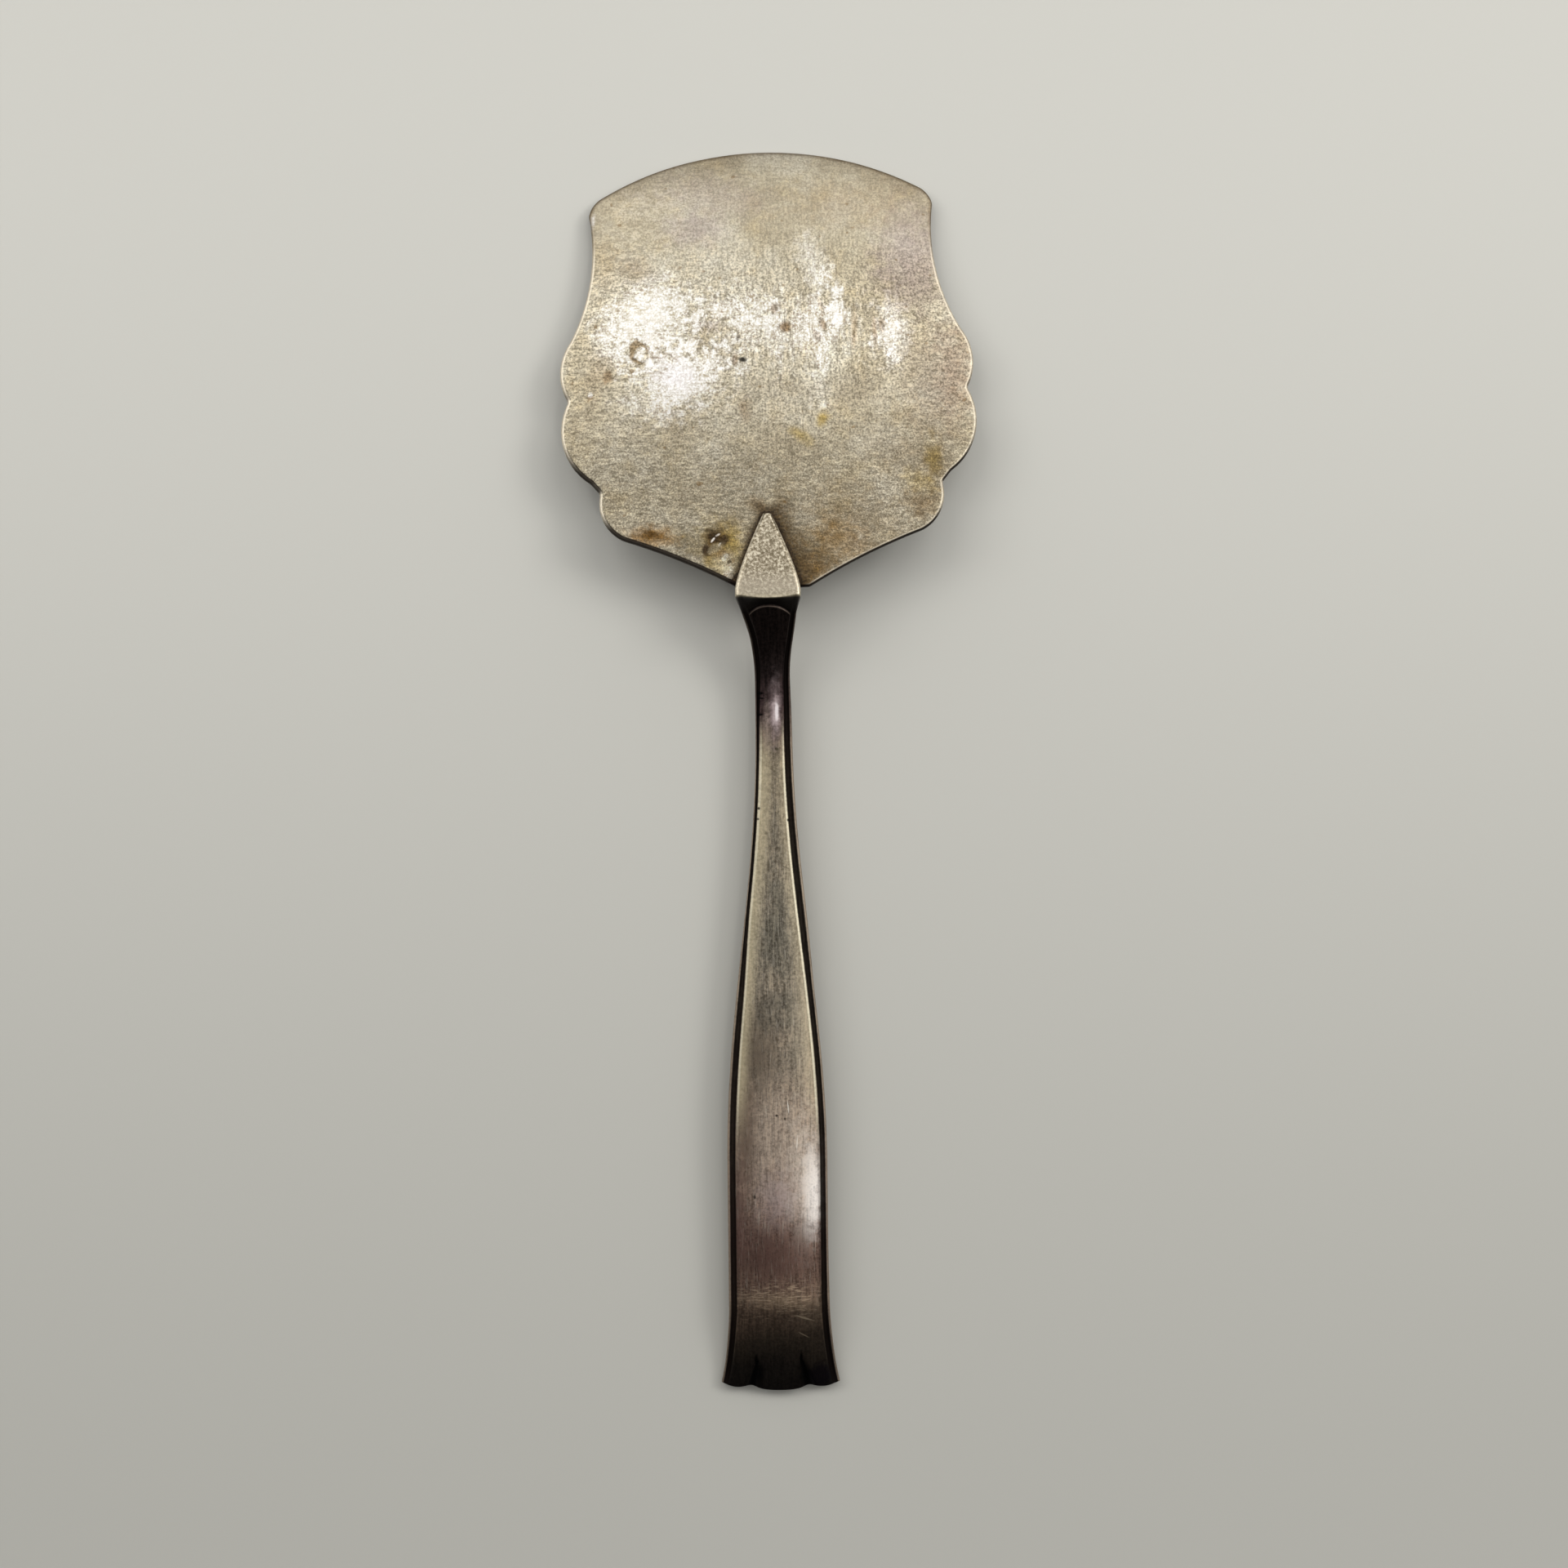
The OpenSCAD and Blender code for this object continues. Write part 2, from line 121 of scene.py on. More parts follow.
# Handle outline
END_WIDTH = 1.168 * GRIP_WIDTH
HEEL_FLARE = 0.1 * HANDLE_LENGTH
SWELL_START = 0.16 * HANDLE_LENGTH
SWELL_END = 0.709 * HANDLE_LENGTH
END_FLARE = 0.104 * HANDLE_LENGTH

# Handle side view: the length of each arc of the middle line and the slope at its end
PANEL_START = 1.4
NECK_SLOPE = rad(42)
NECK_RUN = 0.134 * HANDLE_LENGTH
SHANK_RUN = 0.328 * HANDLE_LENGTH
GRIP_RUN = 0.407 * HANDLE_LENGTH
BEND_RUN = 0.022 * HANDLE_LENGTH
NECK_END = PANEL_START + NECK_RUN
SHANK_END = NECK_END + SHANK_RUN
GRIP_END = SHANK_END + GRIP_RUN
BEND_END = GRIP_END + BEND_RUN
LINE_RUNS = (
    (NECK_RUN, rad(5.3)),
    (SHANK_RUN, rad(5.3)),
    (GRIP_RUN, rad(7)),
    (BEND_RUN, rad(18)),
    (HANDLE_LENGTH - BEND_END, rad(18)),
)
HEEL_T = 3.0
NECK_T = 4.2
GRIP_T = 2.6
END_T = 1.9

# Panel and borders
PANEL_LIFT = 0.65
PANEL_CROWN = 0.35
PANEL_ARCH = 1.3
ARCH_FADE = 6.0
NECK_BORDER = 0.95
GRIP_BORDER = 1.25
END_BORDER = 0.9
THREAD_HEIGHT = 0.25
THREAD_PLACE = 0.84
THREAD_HALF = 0.09
ROUND_NECK = 1.1
ROUND_GRIP = 0.35
HEEL_BLEND = 7.0
STEP_FACE = 0.2

# Unevenness of the forging
SHANK_BULK = (6.0, 24.0, 50.0, 68.0)
END_BULK = 105.0
RIGHT_FULL = 0.42
PANEL_FULL = 0.5
LEFT_FULL = 0.14
END_FULL = 0.38

# Lobed end
GROOVE_LENGTH = 5.5
GROOVE_DEPTH = 0.8
GROOVE_POINT = 0.3
GROOVE_WIDTH = 2.2
GROOVE_POINTS = 0.38 * END_WIDTH
NOTCH_SPACING = 0.497 * END_WIDTH
NOTCH_CUT = 1.0
SIDE_LOBE_CUT = 0.6
CORNER_CUT = 1.5
END_EDGE = 0.2


def mix(a, b, t):
    return a + (b - a) * t


def clamp(t):
    return min(1.0, max(0.0, t))


def ease(t):
    return (1 - math.cos(math.pi * clamp(t))) / 2


def spread(a, b, n):
    return [mix(a, b, (i + 1) / n) for i in range(n)]


def turned(x, y, angle):
    return x * math.cos(angle) - y * math.sin(angle), x * math.sin(angle) + y * math.cos(angle)


# The blade's formula surface

LIP_Y = BLADE_LENGTH - LIP_LENGTH
LIP_SLOPE = math.asin(LIP_Y / ARCH_R)
LIP_LIMIT = 0.95 * LIP_R


def arch_height(y):
    return np.sqrt(ARCH_R**2 - y * y) - ARCH_R


def middle_height(y):
    """Height of the back of the sheet along its middle line"""
    u = np.clip(y - LIP_Y + LIP_R * math.sin(LIP_SLOPE), 0, LIP_LIMIT)
    lip = arch_height(LIP_Y) + np.sqrt(LIP_R**2 - u * u) - LIP_R * math.cos(LIP_SLOPE)
    return np.where(y < LIP_Y, arch_height(y), lip)


def sheet_height(x, y, depth=0.0):
    """Height of the surface that lies some depth below the back of the sheet"""
    r = CROWN_R + middle_height(np.asarray(y, float)) - depth
    return np.sqrt(r * r - x * x) - CROWN_R


def seat_height(x, y):
    """Height of the blade's back under a point of the tongue"""
    return float(sheet_height(*turned(x - BLADE_SHIFT, y, -BLADE_SKEW)))


# The blade's outline

OUTLINE_POINTS = 900
ARC_STEPS = 60
CORNER_R = 0.22
SMOOTHED_OVER = range(-3, 4)


def arc_points(a, b, bulge):
    """Points of an arc from a to b that bulges to the left by a share of its chord"""
    a, b = np.array(a), np.array(b)
    chord = np.linalg.norm(b - a)
    along = (b - a) / chord
    left = np.array([-along[1], along[0]])
    if bulge == 0:
        return spread(a, b, ARC_STEPS)
    rise = bulge * chord
    r = (chord * chord / 4 + rise * rise) / (2 * rise)
    half = math.asin(chord / 2 / r)
    centre = (a + b) / 2 + left * (rise - r)
    return [centre + r * (along * math.sin(t) + left * math.cos(t)) for t in spread(-half, half, ARC_STEPS)]


def blade_outline(half_marks):
    """The outline at even steps, with its corners a little rounded"""
    marks = [(HEEL_WIDTH / 2 + TAIL_OVERHANG / 2, TAIL_SETBACK, 0.0)]
    marks += [(share * BLADE_WIDTH / 2, place * BLADE_LENGTH, bulge)
              for _, place, share, bulge in half_marks]
    right = [np.array(marks[0][:2])]
    for a, b in zip(marks, marks[1:]):
        right += arc_points(a[:2], b[:2], b[2])
    corner = right[-1]
    bow = (BLADE_LENGTH - corner[1]) / (2 * corner[0])
    front = arc_points(corner, (-corner[0], corner[1]), -bow)[:-1]
    rough = np.array(right + front + [np.array([-p[0], p[1]]) for p in reversed(right)])
    closed = np.vstack([rough, rough[:1]])
    run = np.concatenate([[0], np.cumsum(np.linalg.norm(np.diff(closed, axis=0), axis=1))])
    even = np.linspace(0, run[-1], OUTLINE_POINTS, endpoint=False)
    points = np.stack([np.interp(even, run, closed[:, i]) for i in range(2)], axis=1)
    reach = CORNER_R / (run[-1] / OUTLINE_POINTS)
    weights = np.array([math.exp(-0.5 * (o / reach) ** 2) for o in SMOOTHED_OVER])
    weights /= weights.sum()
    return sum(w * np.roll(points, o, axis=0) for w, o in zip(weights, SMOOTHED_OVER))


# The handle's formula shape

STEP_Y = TAIL_SETBACK - (HEEL_WIDTH + TAIL_OVERHANG) / 2 * math.sin(BLADE_SKEW) - TAIL_GAP
PANEL_SHARES = (0, 0.14, 0.27, 0.38, 0.46, 0.56, 0.7, 0.86, 0.96, 1)
BORDER_SHARES = (0.13, 0.3, 0.5, 0.62, 0.74, 0.9, 1)
BORDER_DROPS = (0.98, 1.1, 1.1, 0.8, 0.72, 0.76, 1.1)
EDGE_DROP = 0.15
PANEL_LAST = len(PANEL_SHARES) - 1
SIDE_LAST = PANEL_LAST + len(BORDER_SHARES)
GROOVE_PLACE = 4
LOBE_SHARES = (0, 0.45, 0.8, 1)
STEEPEST_SINE = 0.98


def arc_slope_and_fall(d, run, a, b):
    slope = math.asin(min(STEEPEST_SINE, mix(math.sin(a), math.sin(b), d / run)))
    if a == b:
        return slope, d * math.tan(a)
    return slope, run / (math.sin(b) - math.sin(a)) * (math.cos(a) - math.cos(slope))


def middle_line(d):
    """Slope and height of the middle of the back at a distance behind the ridge"""
    slope, left, fallen = NECK_SLOPE, d - PANEL_START, 0.0
    for i, (run, last_slope) in enumerate(LINE_RUNS):
        if left <= run or i == len(LINE_RUNS) - 1:
            here, fall = arc_slope_and_fall(left, run, slope, last_slope)
            return here, TONGUE_T - RIDGE_STEP - fallen - fall
        fallen += arc_slope_and_fall(run, run, slope, last_slope)[1]
        slope, left = last_slope, left - run


def swell(d):
    return ease((d - SWELL_START) / (SWELL_END - SWELL_START))


def flare(d):
    return clamp(1 - (HANDLE_LENGTH - d) / END_FLARE)


def half_width(d):
    return (mix(NECK_WIDTH, GRIP_WIDTH, swell(d)) / 2
            + (HEEL_WIDTH - NECK_WIDTH) / 2 * clamp(1 - d / HEEL_FLARE) ** 2
            + (END_WIDTH - GRIP_WIDTH) / 2 * flare(d) ** 1.5)


def border(d):
    return mix(mix(NECK_BORDER, GRIP_BORDER, swell(d)), END_BORDER, flare(d))


def thickness(d):
    neck = mix(HEEL_T, NECK_T, ease(d / NECK_RUN))
    return mix(mix(neck, GRIP_T, swell(d)), END_T, flare(d))


def share(k):
    return PANEL_SHARES[k] if k <= PANEL_LAST else 1.0


def across(k, half, edge):
    if k <= PANEL_LAST:
        return PANEL_SHARES[k] * (half - edge)
    return half - edge * (1 - BORDER_SHARES[k - PANEL_LAST - 1])


def border_drop(k):
    if k < PANEL_LAST:
        return 0.0
    return PANEL_LIFT * (EDGE_DROP if k == PANEL_LAST else BORDER_DROPS[k - PANEL_LAST - 1])


def tongue_half(y):
    t = clamp((y - TONGUE_SHOULDER) / (TONGUE_LENGTH - TONGUE_SHOULDER))
    return mix(HEEL_WIDTH / 2, TIP_WIDTH / 2, t**TONGUE_FULLNESS)


def tongue_height(y, x):
    half = tongue_half(y)
    rim = min(half / 2, 2 * TONGUE_EDGE)
    inset = clamp((x - half + rim) / rim)
    return mix(TONGUE_T, TIP_T, y / TONGUE_LENGTH) - TONGUE_EDGE * inset * inset


def tongue_back(y, k):
    half = tongue_half(y)
    x = across(k, half, NECK_BORDER * half * 2 / HEEL_WIDTH)
    return x, y, tongue_height(y, x)


def ridge_back(k):
    x = across(k, HEEL_WIDTH / 2, NECK_BORDER)
    corner = RIDGE_CORNER if k == SIDE_LAST else 0
    return x, -RIDGE_BOW * (1 - share(k) ** 2), tongue_height(0, x) - corner - RIDGE_WEAR


def between(a, b, t):
    return tuple(mix(p, q, t) for p, q in zip(a, b))


def foot_back(k):
    x, y, _ = panel_back(PANEL_START, k, PANEL_ARCH)
    drop = PANEL_LIFT * (1 if k < SIDE_LAST else BORDER_DROPS[-1])
    return x, y + FOOT_GAP, middle_line(-y)[1] - drop


def panel_back(d, k, arch=0.0):
    far = d + arch * share(k) ** 2
    crown = PANEL_CROWN * half_width(far) * 2 / GRIP_WIDTH * share(k) ** 2
    return across(k, half_width(far), border(far)), -far, middle_line(far)[1] - crown - border_drop(k)


def end_cut(x):
    """How far the end is cut in at a distance from its middle"""
    notch = NOTCH_SPACING / 2
    if x < notch:
        return NOTCH_CUT * (x / notch) ** 3
    s = (x - notch) / (END_WIDTH / 2 - notch)
    return mix(SIDE_LOBE_CUT, NOTCH_CUT if s < 0.5 else CORNER_CUT, (2 * s - 1) ** 2)


def lobe_x(d, k, t):
    line = mix(GROOVE_POINTS, NOTCH_SPACING, t) / 2
    flank = mix(GROOVE_POINT, GROOVE_WIDTH, t) / 2
    if k < GROOVE_PLACE:
        return LOBE_SHARES[k] * (line - flank)
    if k == GROOVE_PLACE:
        return line
    if k <= PANEL_LAST:
        panel = half_width(d) - border(d)
        return mix(line + flank, panel, (k - GROOVE_PLACE - 1) / (PANEL_LAST - GROOVE_PLACE - 1))
    return across(k, half_width(d), border(d))


def lobe_back(d, k):
    t = clamp((d - HANDLE_LENGTH + GROOVE_LENGTH) / GROOVE_LENGTH)
    x = lobe_x(d, k, t)
    far = d - t * end_cut(x)
    s = clamp(x / (half_width(d) - border(d)))
    groove = GROOVE_DEPTH * t if k == GROOVE_PLACE else 0
    edge = mix(border_drop(k), END_EDGE if k > PANEL_LAST else 0, t * t)
    crown = PANEL_CROWN * half_width(d) * 2 / GRIP_WIDTH * s * s
    return x, -far, middle_line(far)[1] - crown - edge - groove


def front_height(d, x):
    """Height of the front of the handle, rounded to the sides and threaded along the edges"""
    slope, height = middle_line(d)
    u = x / half_width(d)
    thread = THREAD_HEIGHT if abs(u - THREAD_PLACE) < THREAD_HALF else 0
    rise = mix(ROUND_NECK, ROUND_GRIP, swell(d)) * u**4 - thread * swell(d)
    return height - thickness(d) / math.cos(slope) + rise


def heel_front(d, x):
    """The front starts flush with the front of the blade"""
    return mix(-BLADE_T, front_height(d, x), ease((d + STEP_Y) / HEEL_BLEND))


def bulk(d, start, full, fading, end):
    """Rises from 0 to 1 between start and full, and falls again between fading and end"""
    return min(ease((d - start) / (full - start)), 1 - ease((d - fading) / (end - fading)))


def uneven(x, inset, panel, d):
    """The forging is a little fuller than drawn: its panel to the left, its outer edge to the right"""
    on_shank = bulk(d, *SHANK_BULK)
    on_end = ease((d - END_BULK) / (HANDLE_LENGTH - END_BULK))
    outer = clamp(-inset)
    if x > 0:
        return x + outer * (RIGHT_FULL * on_shank + END_FULL * on_end)
    at_side = mix(clamp(-x / panel), 0, outer)
    return x - at_side * PANEL_FULL * on_shank - outer * mix(LEFT_FULL, END_FULL / 2, on_end)


def leaning(x, y):
    """The heel leans to the left, and the handle runs true again half way along the flare"""
    return x - HEEL_SHIFT * (1 - ease(-2 * y / HEEL_FLARE))


# Rows of the handle, each with its distance behind the ridge

TONGUE_ROWS = 11
ARCH_ROWS = 6
LOBE_ROWS = 9
SUPPORT = 0.12
RIDGE_HOLD = 0.12
TONGUE_PLACES = [TONGUE_LENGTH, TONGUE_LENGTH - SUPPORT]
TONGUE_PLACES += spread(TONGUE_LENGTH, STEP_Y + SUPPORT, TONGUE_ROWS) + [STEP_Y]
ARCH_END = PANEL_START + ARCH_FADE
GROOVE_TOP = HANDLE_LENGTH - GROOVE_LENGTH
# Stretches of the handle between the arch and the grooves: start, end and number of rows
STRETCHES = (
    (ARCH_END, NECK_END, 9),
    (NECK_END, SHANK_END, 14),
    (SHANK_END, GRIP_END, 15),
    (GRIP_END, BEND_END, 4),
    (BEND_END, GROOVE_TOP, 5),
)


def half_rows():
    """Half rows of the back: distance, and the points from the middle outwards"""
    ks = range(SIDE_LAST + 1)
    ridge_rise = STEP_Y - STEP_FACE
    rows = [(-y, [tongue_back(y, k) for k in ks])
            for y in TONGUE_PLACES + [ridge_rise, ridge_rise - SUPPORT, ridge_rise / 3]]
    ridge = [ridge_back(k) for k in ks]
    foot = [foot_back(k) for k in ks]
    rows.append((-SUPPORT, [between(p, q, RIDGE_HOLD) for p, q in zip(ridge, rows[-1][1])]))
    rows.append((0.0, ridge))
    rows.append((SUPPORT, [between(p, q, RIDGE_HOLD) for p, q in zip(ridge, foot)]))
    rows.append((PANEL_START / 2, foot))
    for t in [0.0] + spread(0, 1, ARCH_ROWS):
        d = mix(PANEL_START, ARCH_END, t)
        rows.append((d, [panel_back(d, k, PANEL_ARCH * (1 - t)) for k in ks]))
    for stretch in STRETCHES:
        rows += [(d, [panel_back(d, k) for k in ks]) for d in spread(*stretch)]
    lobed = spread(GROOVE_TOP, HANDLE_LENGTH, LOBE_ROWS)
    lobed.insert(-1, HANDLE_LENGTH - SUPPORT)
    rows += [(d, [lobe_back(d, k) for k in ks]) for d in lobed]
    return rows


def front_point(i, x, y):
    """The front lies on the blade beneath the tongue, and is free behind it"""
    if i < len(TONGUE_PLACES):
        return seat_height(leaning(x, y), y) + SOLDER_FILM
    return heel_front(-y, x)


class Handle:
    """Points, faces and point values of the handle's cage"""

    WALL = 0.3

    def __init__(self):
        self.points, self.faces, self.values = [], [], []
        rings = [self.ring(i, d, row) for i, (d, row) in enumerate(half_rows())]
        for a, b in zip(rings, rings[1:]):
            self.join(a + a[:1], b + b[:1])
        self.cap(rings[0])
        self.cap(rings[-1])
        self.along, self.inset, self.under, self.groove = zip(*self.values)

    def add(self, place, d, inset, under, groove=0.0):
        self.points.append(place)
        self.values.append((d, inset, under, groove))
        return len(self.points) - 1

    def point(self, x, y, z, *values):
        return self.add((leaning(x, y), y, z), *values)

    def join(self, a, b):
        for j in range(len(a) - 1):
            self.faces.append((a[j], a[j + 1], b[j + 1], b[j]))

    def walls(self, x, y, back, front, d):
        """The two points of a side wall that hold its edges firm"""
        w = min(self.WALL, (back - front) / 3)
        return [self.point(x, y, back - w, d, -1.0, 0.0), self.point(x, y, front + w, d, -1.0, 1.0)]

    def ring(self, i, d, row):
        last = row[-1]
        half = last[0]
        edge = half - row[PANEL_LAST][0]
        full = [(-x, y, z) for x, y, z in reversed(row[1:])] + list(row)
        back, front = [], []
        for j, (x, y, z) in enumerate(full):
            k = abs(j - SIDE_LAST)
            lobed = d > GROOVE_TOP and k == GROOVE_PLACE
            inset = half - edge - abs(x)
            inset /= edge if inset < 0 else 1
            moved = uneven(x, inset, half - edge, d)
            back.append(self.point(moved, y, z, d, inset, 0.0, float(lobed)))
            front.append(self.point(moved, y, front_point(i, abs(x), y), d, inset, 1.0))
        x, y, z = last
        low = front_point(i, x, y)
        right, left = [self.walls(uneven(side, -1.0, half - edge, d), y, z, low, d) for side in (x, -x)]
        return back + right + front[::-1] + left[::-1]

    def cap(self, ring):
        """Closes an end with rows of faces from its back to its front"""
        n = 2 * SIDE_LAST + 1
        back, right = ring[:n], ring[n:n + 2]
        front, left = ring[n + 2:2 * n + 2][::-1], ring[2 * n + 2:][::-1]
        high, low = [left[0]], [left[1]]
        for j in range(1, n - 1):
            b, f = back[j], front[j]
            x, y, top = self.points[b]
            bottom = self.points[f][2]
            w = min(self.WALL, (top - bottom) / 3)
            d, inset, _, groove = self.values[b]
            for row, z, under in ((high, top - w, 0.0), (low, bottom + w, 1.0)):
                row.append(self.add((x, y, z), d, inset, under, groove))
        high.append(right[0])
        low.append(right[1])
        for a, b in ((back, high), (high, low), (low, front)):
            self.join(a, b)


# The blade as loops of points from the middle of its back, over the rim, to the middle of its front

RIM_R = 0.42
RIM_STEPS = 6
RIM_WEAR = 0.02
BACK_LOOPS = 58
FRONT_LOOPS = 22
LOOP_CROWDING = 0.8
FAR_FROM_RIM = 30.0
BLADE_MIDDLE = np.array([0.0, 0.5 * BLADE_LENGTH])


def off_tongue(x, y):
    """Distance of a point of the blade outside the outline of the tongue"""
    side = abs(x + HEEL_SHIFT) - tongue_half(min(y, TONGUE_LENGTH))
    return math.hypot(max(side, 0), max(y - TONGUE_LENGTH, 0))


def inner_loops(edge, count):
    """Loops from the middle out to the edge, closer together towards it"""
    return [mix(BLADE_MIDDLE, edge, s**LOOP_CROWDING) for s in spread(0, 1, count)]


class Blade:
    """Points, faces and point values of the blade"""

    def __init__(self):
        outline = blade_outline(WORN_MARKS)
        ahead = np.roll(outline, -1, axis=0) - np.roll(outline, 1, axis=0)
        ahead /= np.linalg.norm(ahead, axis=1)[:, None]
        inward = np.stack([-ahead[:, 1], ahead[:, 0]], axis=1)
        outline = outline + inward * RIM_WEAR
        edge = outline + inward * RIM_R
        turns = [0.0] + spread(0, math.pi / 2, RIM_STEPS)
        loops = [(flat, 0.0, 0.0) for flat in inner_loops(edge, BACK_LOOPS)]
        loops += [(edge - inward * RIM_R * math.sin(a), RIM_R * (1 - math.cos(a)), 0.0)
                  for a in turns[1:]]
        loops += [(edge - inward * RIM_R * math.cos(a), BLADE_T - RIM_R * (1 - math.sin(a)), 1.0)
                  for a in turns]
        loops += [(flat, BLADE_T, 1.0) for flat in inner_loops(edge, FRONT_LOOPS)[-2::-1]]
        rows = [self.place(flat, depth) for flat, depth, _ in loops]
        n = OUTLINE_POINTS
        ends = [self.place(BLADE_MIDDLE[None], depth) for depth in (0.0, BLADE_T)]
        self.points = np.vstack(rows + ends)
        self.under = np.concatenate([np.full(n, side) for _, _, side in loops] + [[0.0, 1.0]])
        self.rear = np.concatenate([inward[:, 1]] * len(loops) + [[0.0, 0.0]])
        self.rim = self.rim_distance(np.vstack([flat for flat, _, _ in loops]), outline)
        self.off_tongue = [off_tongue(x, y) for x, y, _ in self.points]
        steps = [(j, (j + 1) % n) for j in range(n)]
        starts = range(0, len(loops) * n, n)
        self.faces = [(a + i, b + i, b + i + n, a + i + n) for i in starts[:-1] for a, b in steps]
        back_middle, end = len(loops) * n, starts[-1]
        self.faces += [(back_middle, b, a) for a, b in steps]
        self.faces += [(back_middle + 1, a + end, b + end) for a, b in steps]

    @staticmethod
    def place(flat, depth):
        """Lifts flat points to the dish and sets the blade in the heel frame"""
        z = sheet_height(flat[:, 0], flat[:, 1], depth) + hammered(flat)
        x, y = turned(flat[:, 0], flat[:, 1], BLADE_SKEW)
        return np.stack([x + BLADE_SHIFT, y, z], axis=1)

    @staticmethod
    def rim_distance(flat, outline):
        tree = KDTree(len(outline))
        for i, p in enumerate(outline):
            tree.insert((p[0], p[1], 0), i)
        tree.balance()
        return np.array([tree.find((p[0], p[1], 0))[2] for p in flat] + [FAR_FROM_RIM] * 2)


WAVES = ((0.31, 0.17, 0.4), (-0.22, 0.29, 1.9), (0.12, -0.36, 3.1), (0.4, 0.05, 4.4), (0.08, 0.23, 5.2))
WAVE_HEIGHT = 0.018
STILL_ZONE = 20.0
STILL_FADE = 8.0


def hammered(flat):
    """Slow waves left in the sheet by its making, still around the tongue"""
    x, y = flat[:, 0], flat[:, 1]
    away = np.clip((y - STILL_ZONE) / STILL_FADE, 0, 1)
    return WAVE_HEIGHT * away * sum(np.sin(a * x + b * y + c) for a, b, c in WAVES)


# Setting on the table

FIRST_TILT = rad(5.3)
TILT_ROUNDS = 6


def tipped(points, angle):
    """Points turned about the x axis"""
    p = np.asarray(points, float)
    y = p[:, 1] * math.cos(angle) - p[:, 2] * math.sin(angle)
    z = p[:, 1] * math.sin(angle) + p[:, 2] * math.cos(angle)
    return np.stack([p[:, 0], y, z], axis=1)


def level(blade, handle):
    """The tilt at which the front edge and the end of the handle both touch the table"""
    tilt = FIRST_TILT
    for _ in range(TILT_ROUNDS):
        a = blade[tipped(blade, tilt)[:, 2].argmin()]
        b = handle[tipped(handle, tilt)[:, 2].argmin()]
        tilt = math.atan2(b[2] - a[2], a[1] - b[1])
    return tilt


blade = Blade()
handle = Handle()
# The part is placed by the unworn outline, as the solids are
unworn = blade_outline(HALF_MARKS)
sharp_blade = np.vstack([Blade.place(unworn, depth) for depth in (0.0, BLADE_T)])
tilt = level(sharp_blade, np.array(handle.points))
low = np.vstack([tipped(sharp_blade, tilt), tipped(handle.points, tilt)]).min(axis=0)
HANDLE_X = CAD_LOW[0] - low[0] * MM


def on_the_table(points):
    """From millimetres in the heel frame to metres in the row frame"""
    return (tipped(points, tilt) - low) * MM + np.array(CAD_LOW)


# Pieces

def new_object(name, data):
    made = bpy.data.objects.new(name, data)
    scene.collection.objects.link(made)
    return made


def make_piece(name, shape, value_names, node):
    mesh = bpy.data.meshes.new(name)
    mesh.from_pydata([tuple(p) for p in on_the_table(shape.points)], [], shape.faces)
    for value_name in value_names:
        layer = mesh.attributes.new(value_name, "FLOAT", "POINT")
        layer.data.foreach_set("value", np.asarray(getattr(shape, value_name), np.float32))
    work = bmesh.new()
    work.from_mesh(mesh)
    bmesh.ops.recalc_face_normals(work, faces=work.faces)
    work.to_mesh(mesh)
    work.free()
    mesh.shade_smooth()
    piece = new_object(name, mesh)
    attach(piece, "root")
    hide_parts(node)
    return piece


blade_piece = make_piece(
    "serving_blade", blade, ("rim", "rear", "under", "off_tongue"), "blade")
handle_piece = make_piece(
    "forged_handle", handle, ("along", "inset", "groove", "under"), "handle")
rounding = handle_piece.modifiers.new("rounding", "SUBSURF")
rounding.levels = rounding.render_levels = 2


# Camera: above the table, looking straight down, with the picture turned a little

VIEW_HEIGHT = 450.0
VIEW_CENTRE = (1.96, -2.19)
VIEW_ROLL = rad(0.63)
PICTURE = 1920
PIXEL = 0.13896
SENSOR = 36.0

camera_data = bpy.data.cameras.new("camera")
camera_data.sensor_width = SENSOR
camera_data.lens = SENSOR * VIEW_HEIGHT / (PICTURE * PIXEL)
camera = new_object("camera", camera_data)
camera.location = Vector((*VIEW_CENTRE, VIEW_HEIGHT)) * MM
camera.rotation_euler = (0, 0, -VIEW_ROLL)
scene.camera = camera

# Where the picture shows the middle of the ridge
RIDGE_COLUMN = 941
RIDGE_ROW = 731


def back_height(column, row):
    """Height above the table of the blade's or the handle's back at a pixel"""
    x, y = (column - RIDGE_COLUMN) * PIXEL, (RIDGE_ROW - row) * PIXEL
    z = seat_height(x, y) if y > 0 else middle_line(-y)[1]
    return float(on_the_table([(x, y, z)])[0, 2]) / MM


def at_pixel(column, row):
    """The place in the row frame, in metres, that the picture shows at a pixel"""
    scale = PIXEL * (VIEW_HEIGHT - back_height(column, row)) / VIEW_HEIGHT
    x, y = turned((column - PICTURE / 2) * scale, (PICTURE / 2 - row) * scale, -VIEW_ROLL)
    return (x + VIEW_CENTRE[0]) * MM, (y + VIEW_CENTRE[1]) * MM


# Materials. Colours are display values from 0 to 255

METALLIC = 0.9
# Height of the fine relief
RELIEF = 0.04
# How far noise moves the edges of marks, as a share of their half sizes
SPOT_SHAKE = 1.1


def linear(level):
    level /= 255
    return level / 12.92 if level <= 0.04045 else ((level + 0.055) / 1.055) ** 2.4


def node_colour(colour):
    """A display colour, or one plain brightness, as a node takes it"""
    return [*map(linear, colour), 1] if isinstance(colour, tuple) else [colour] * 3 + [1]


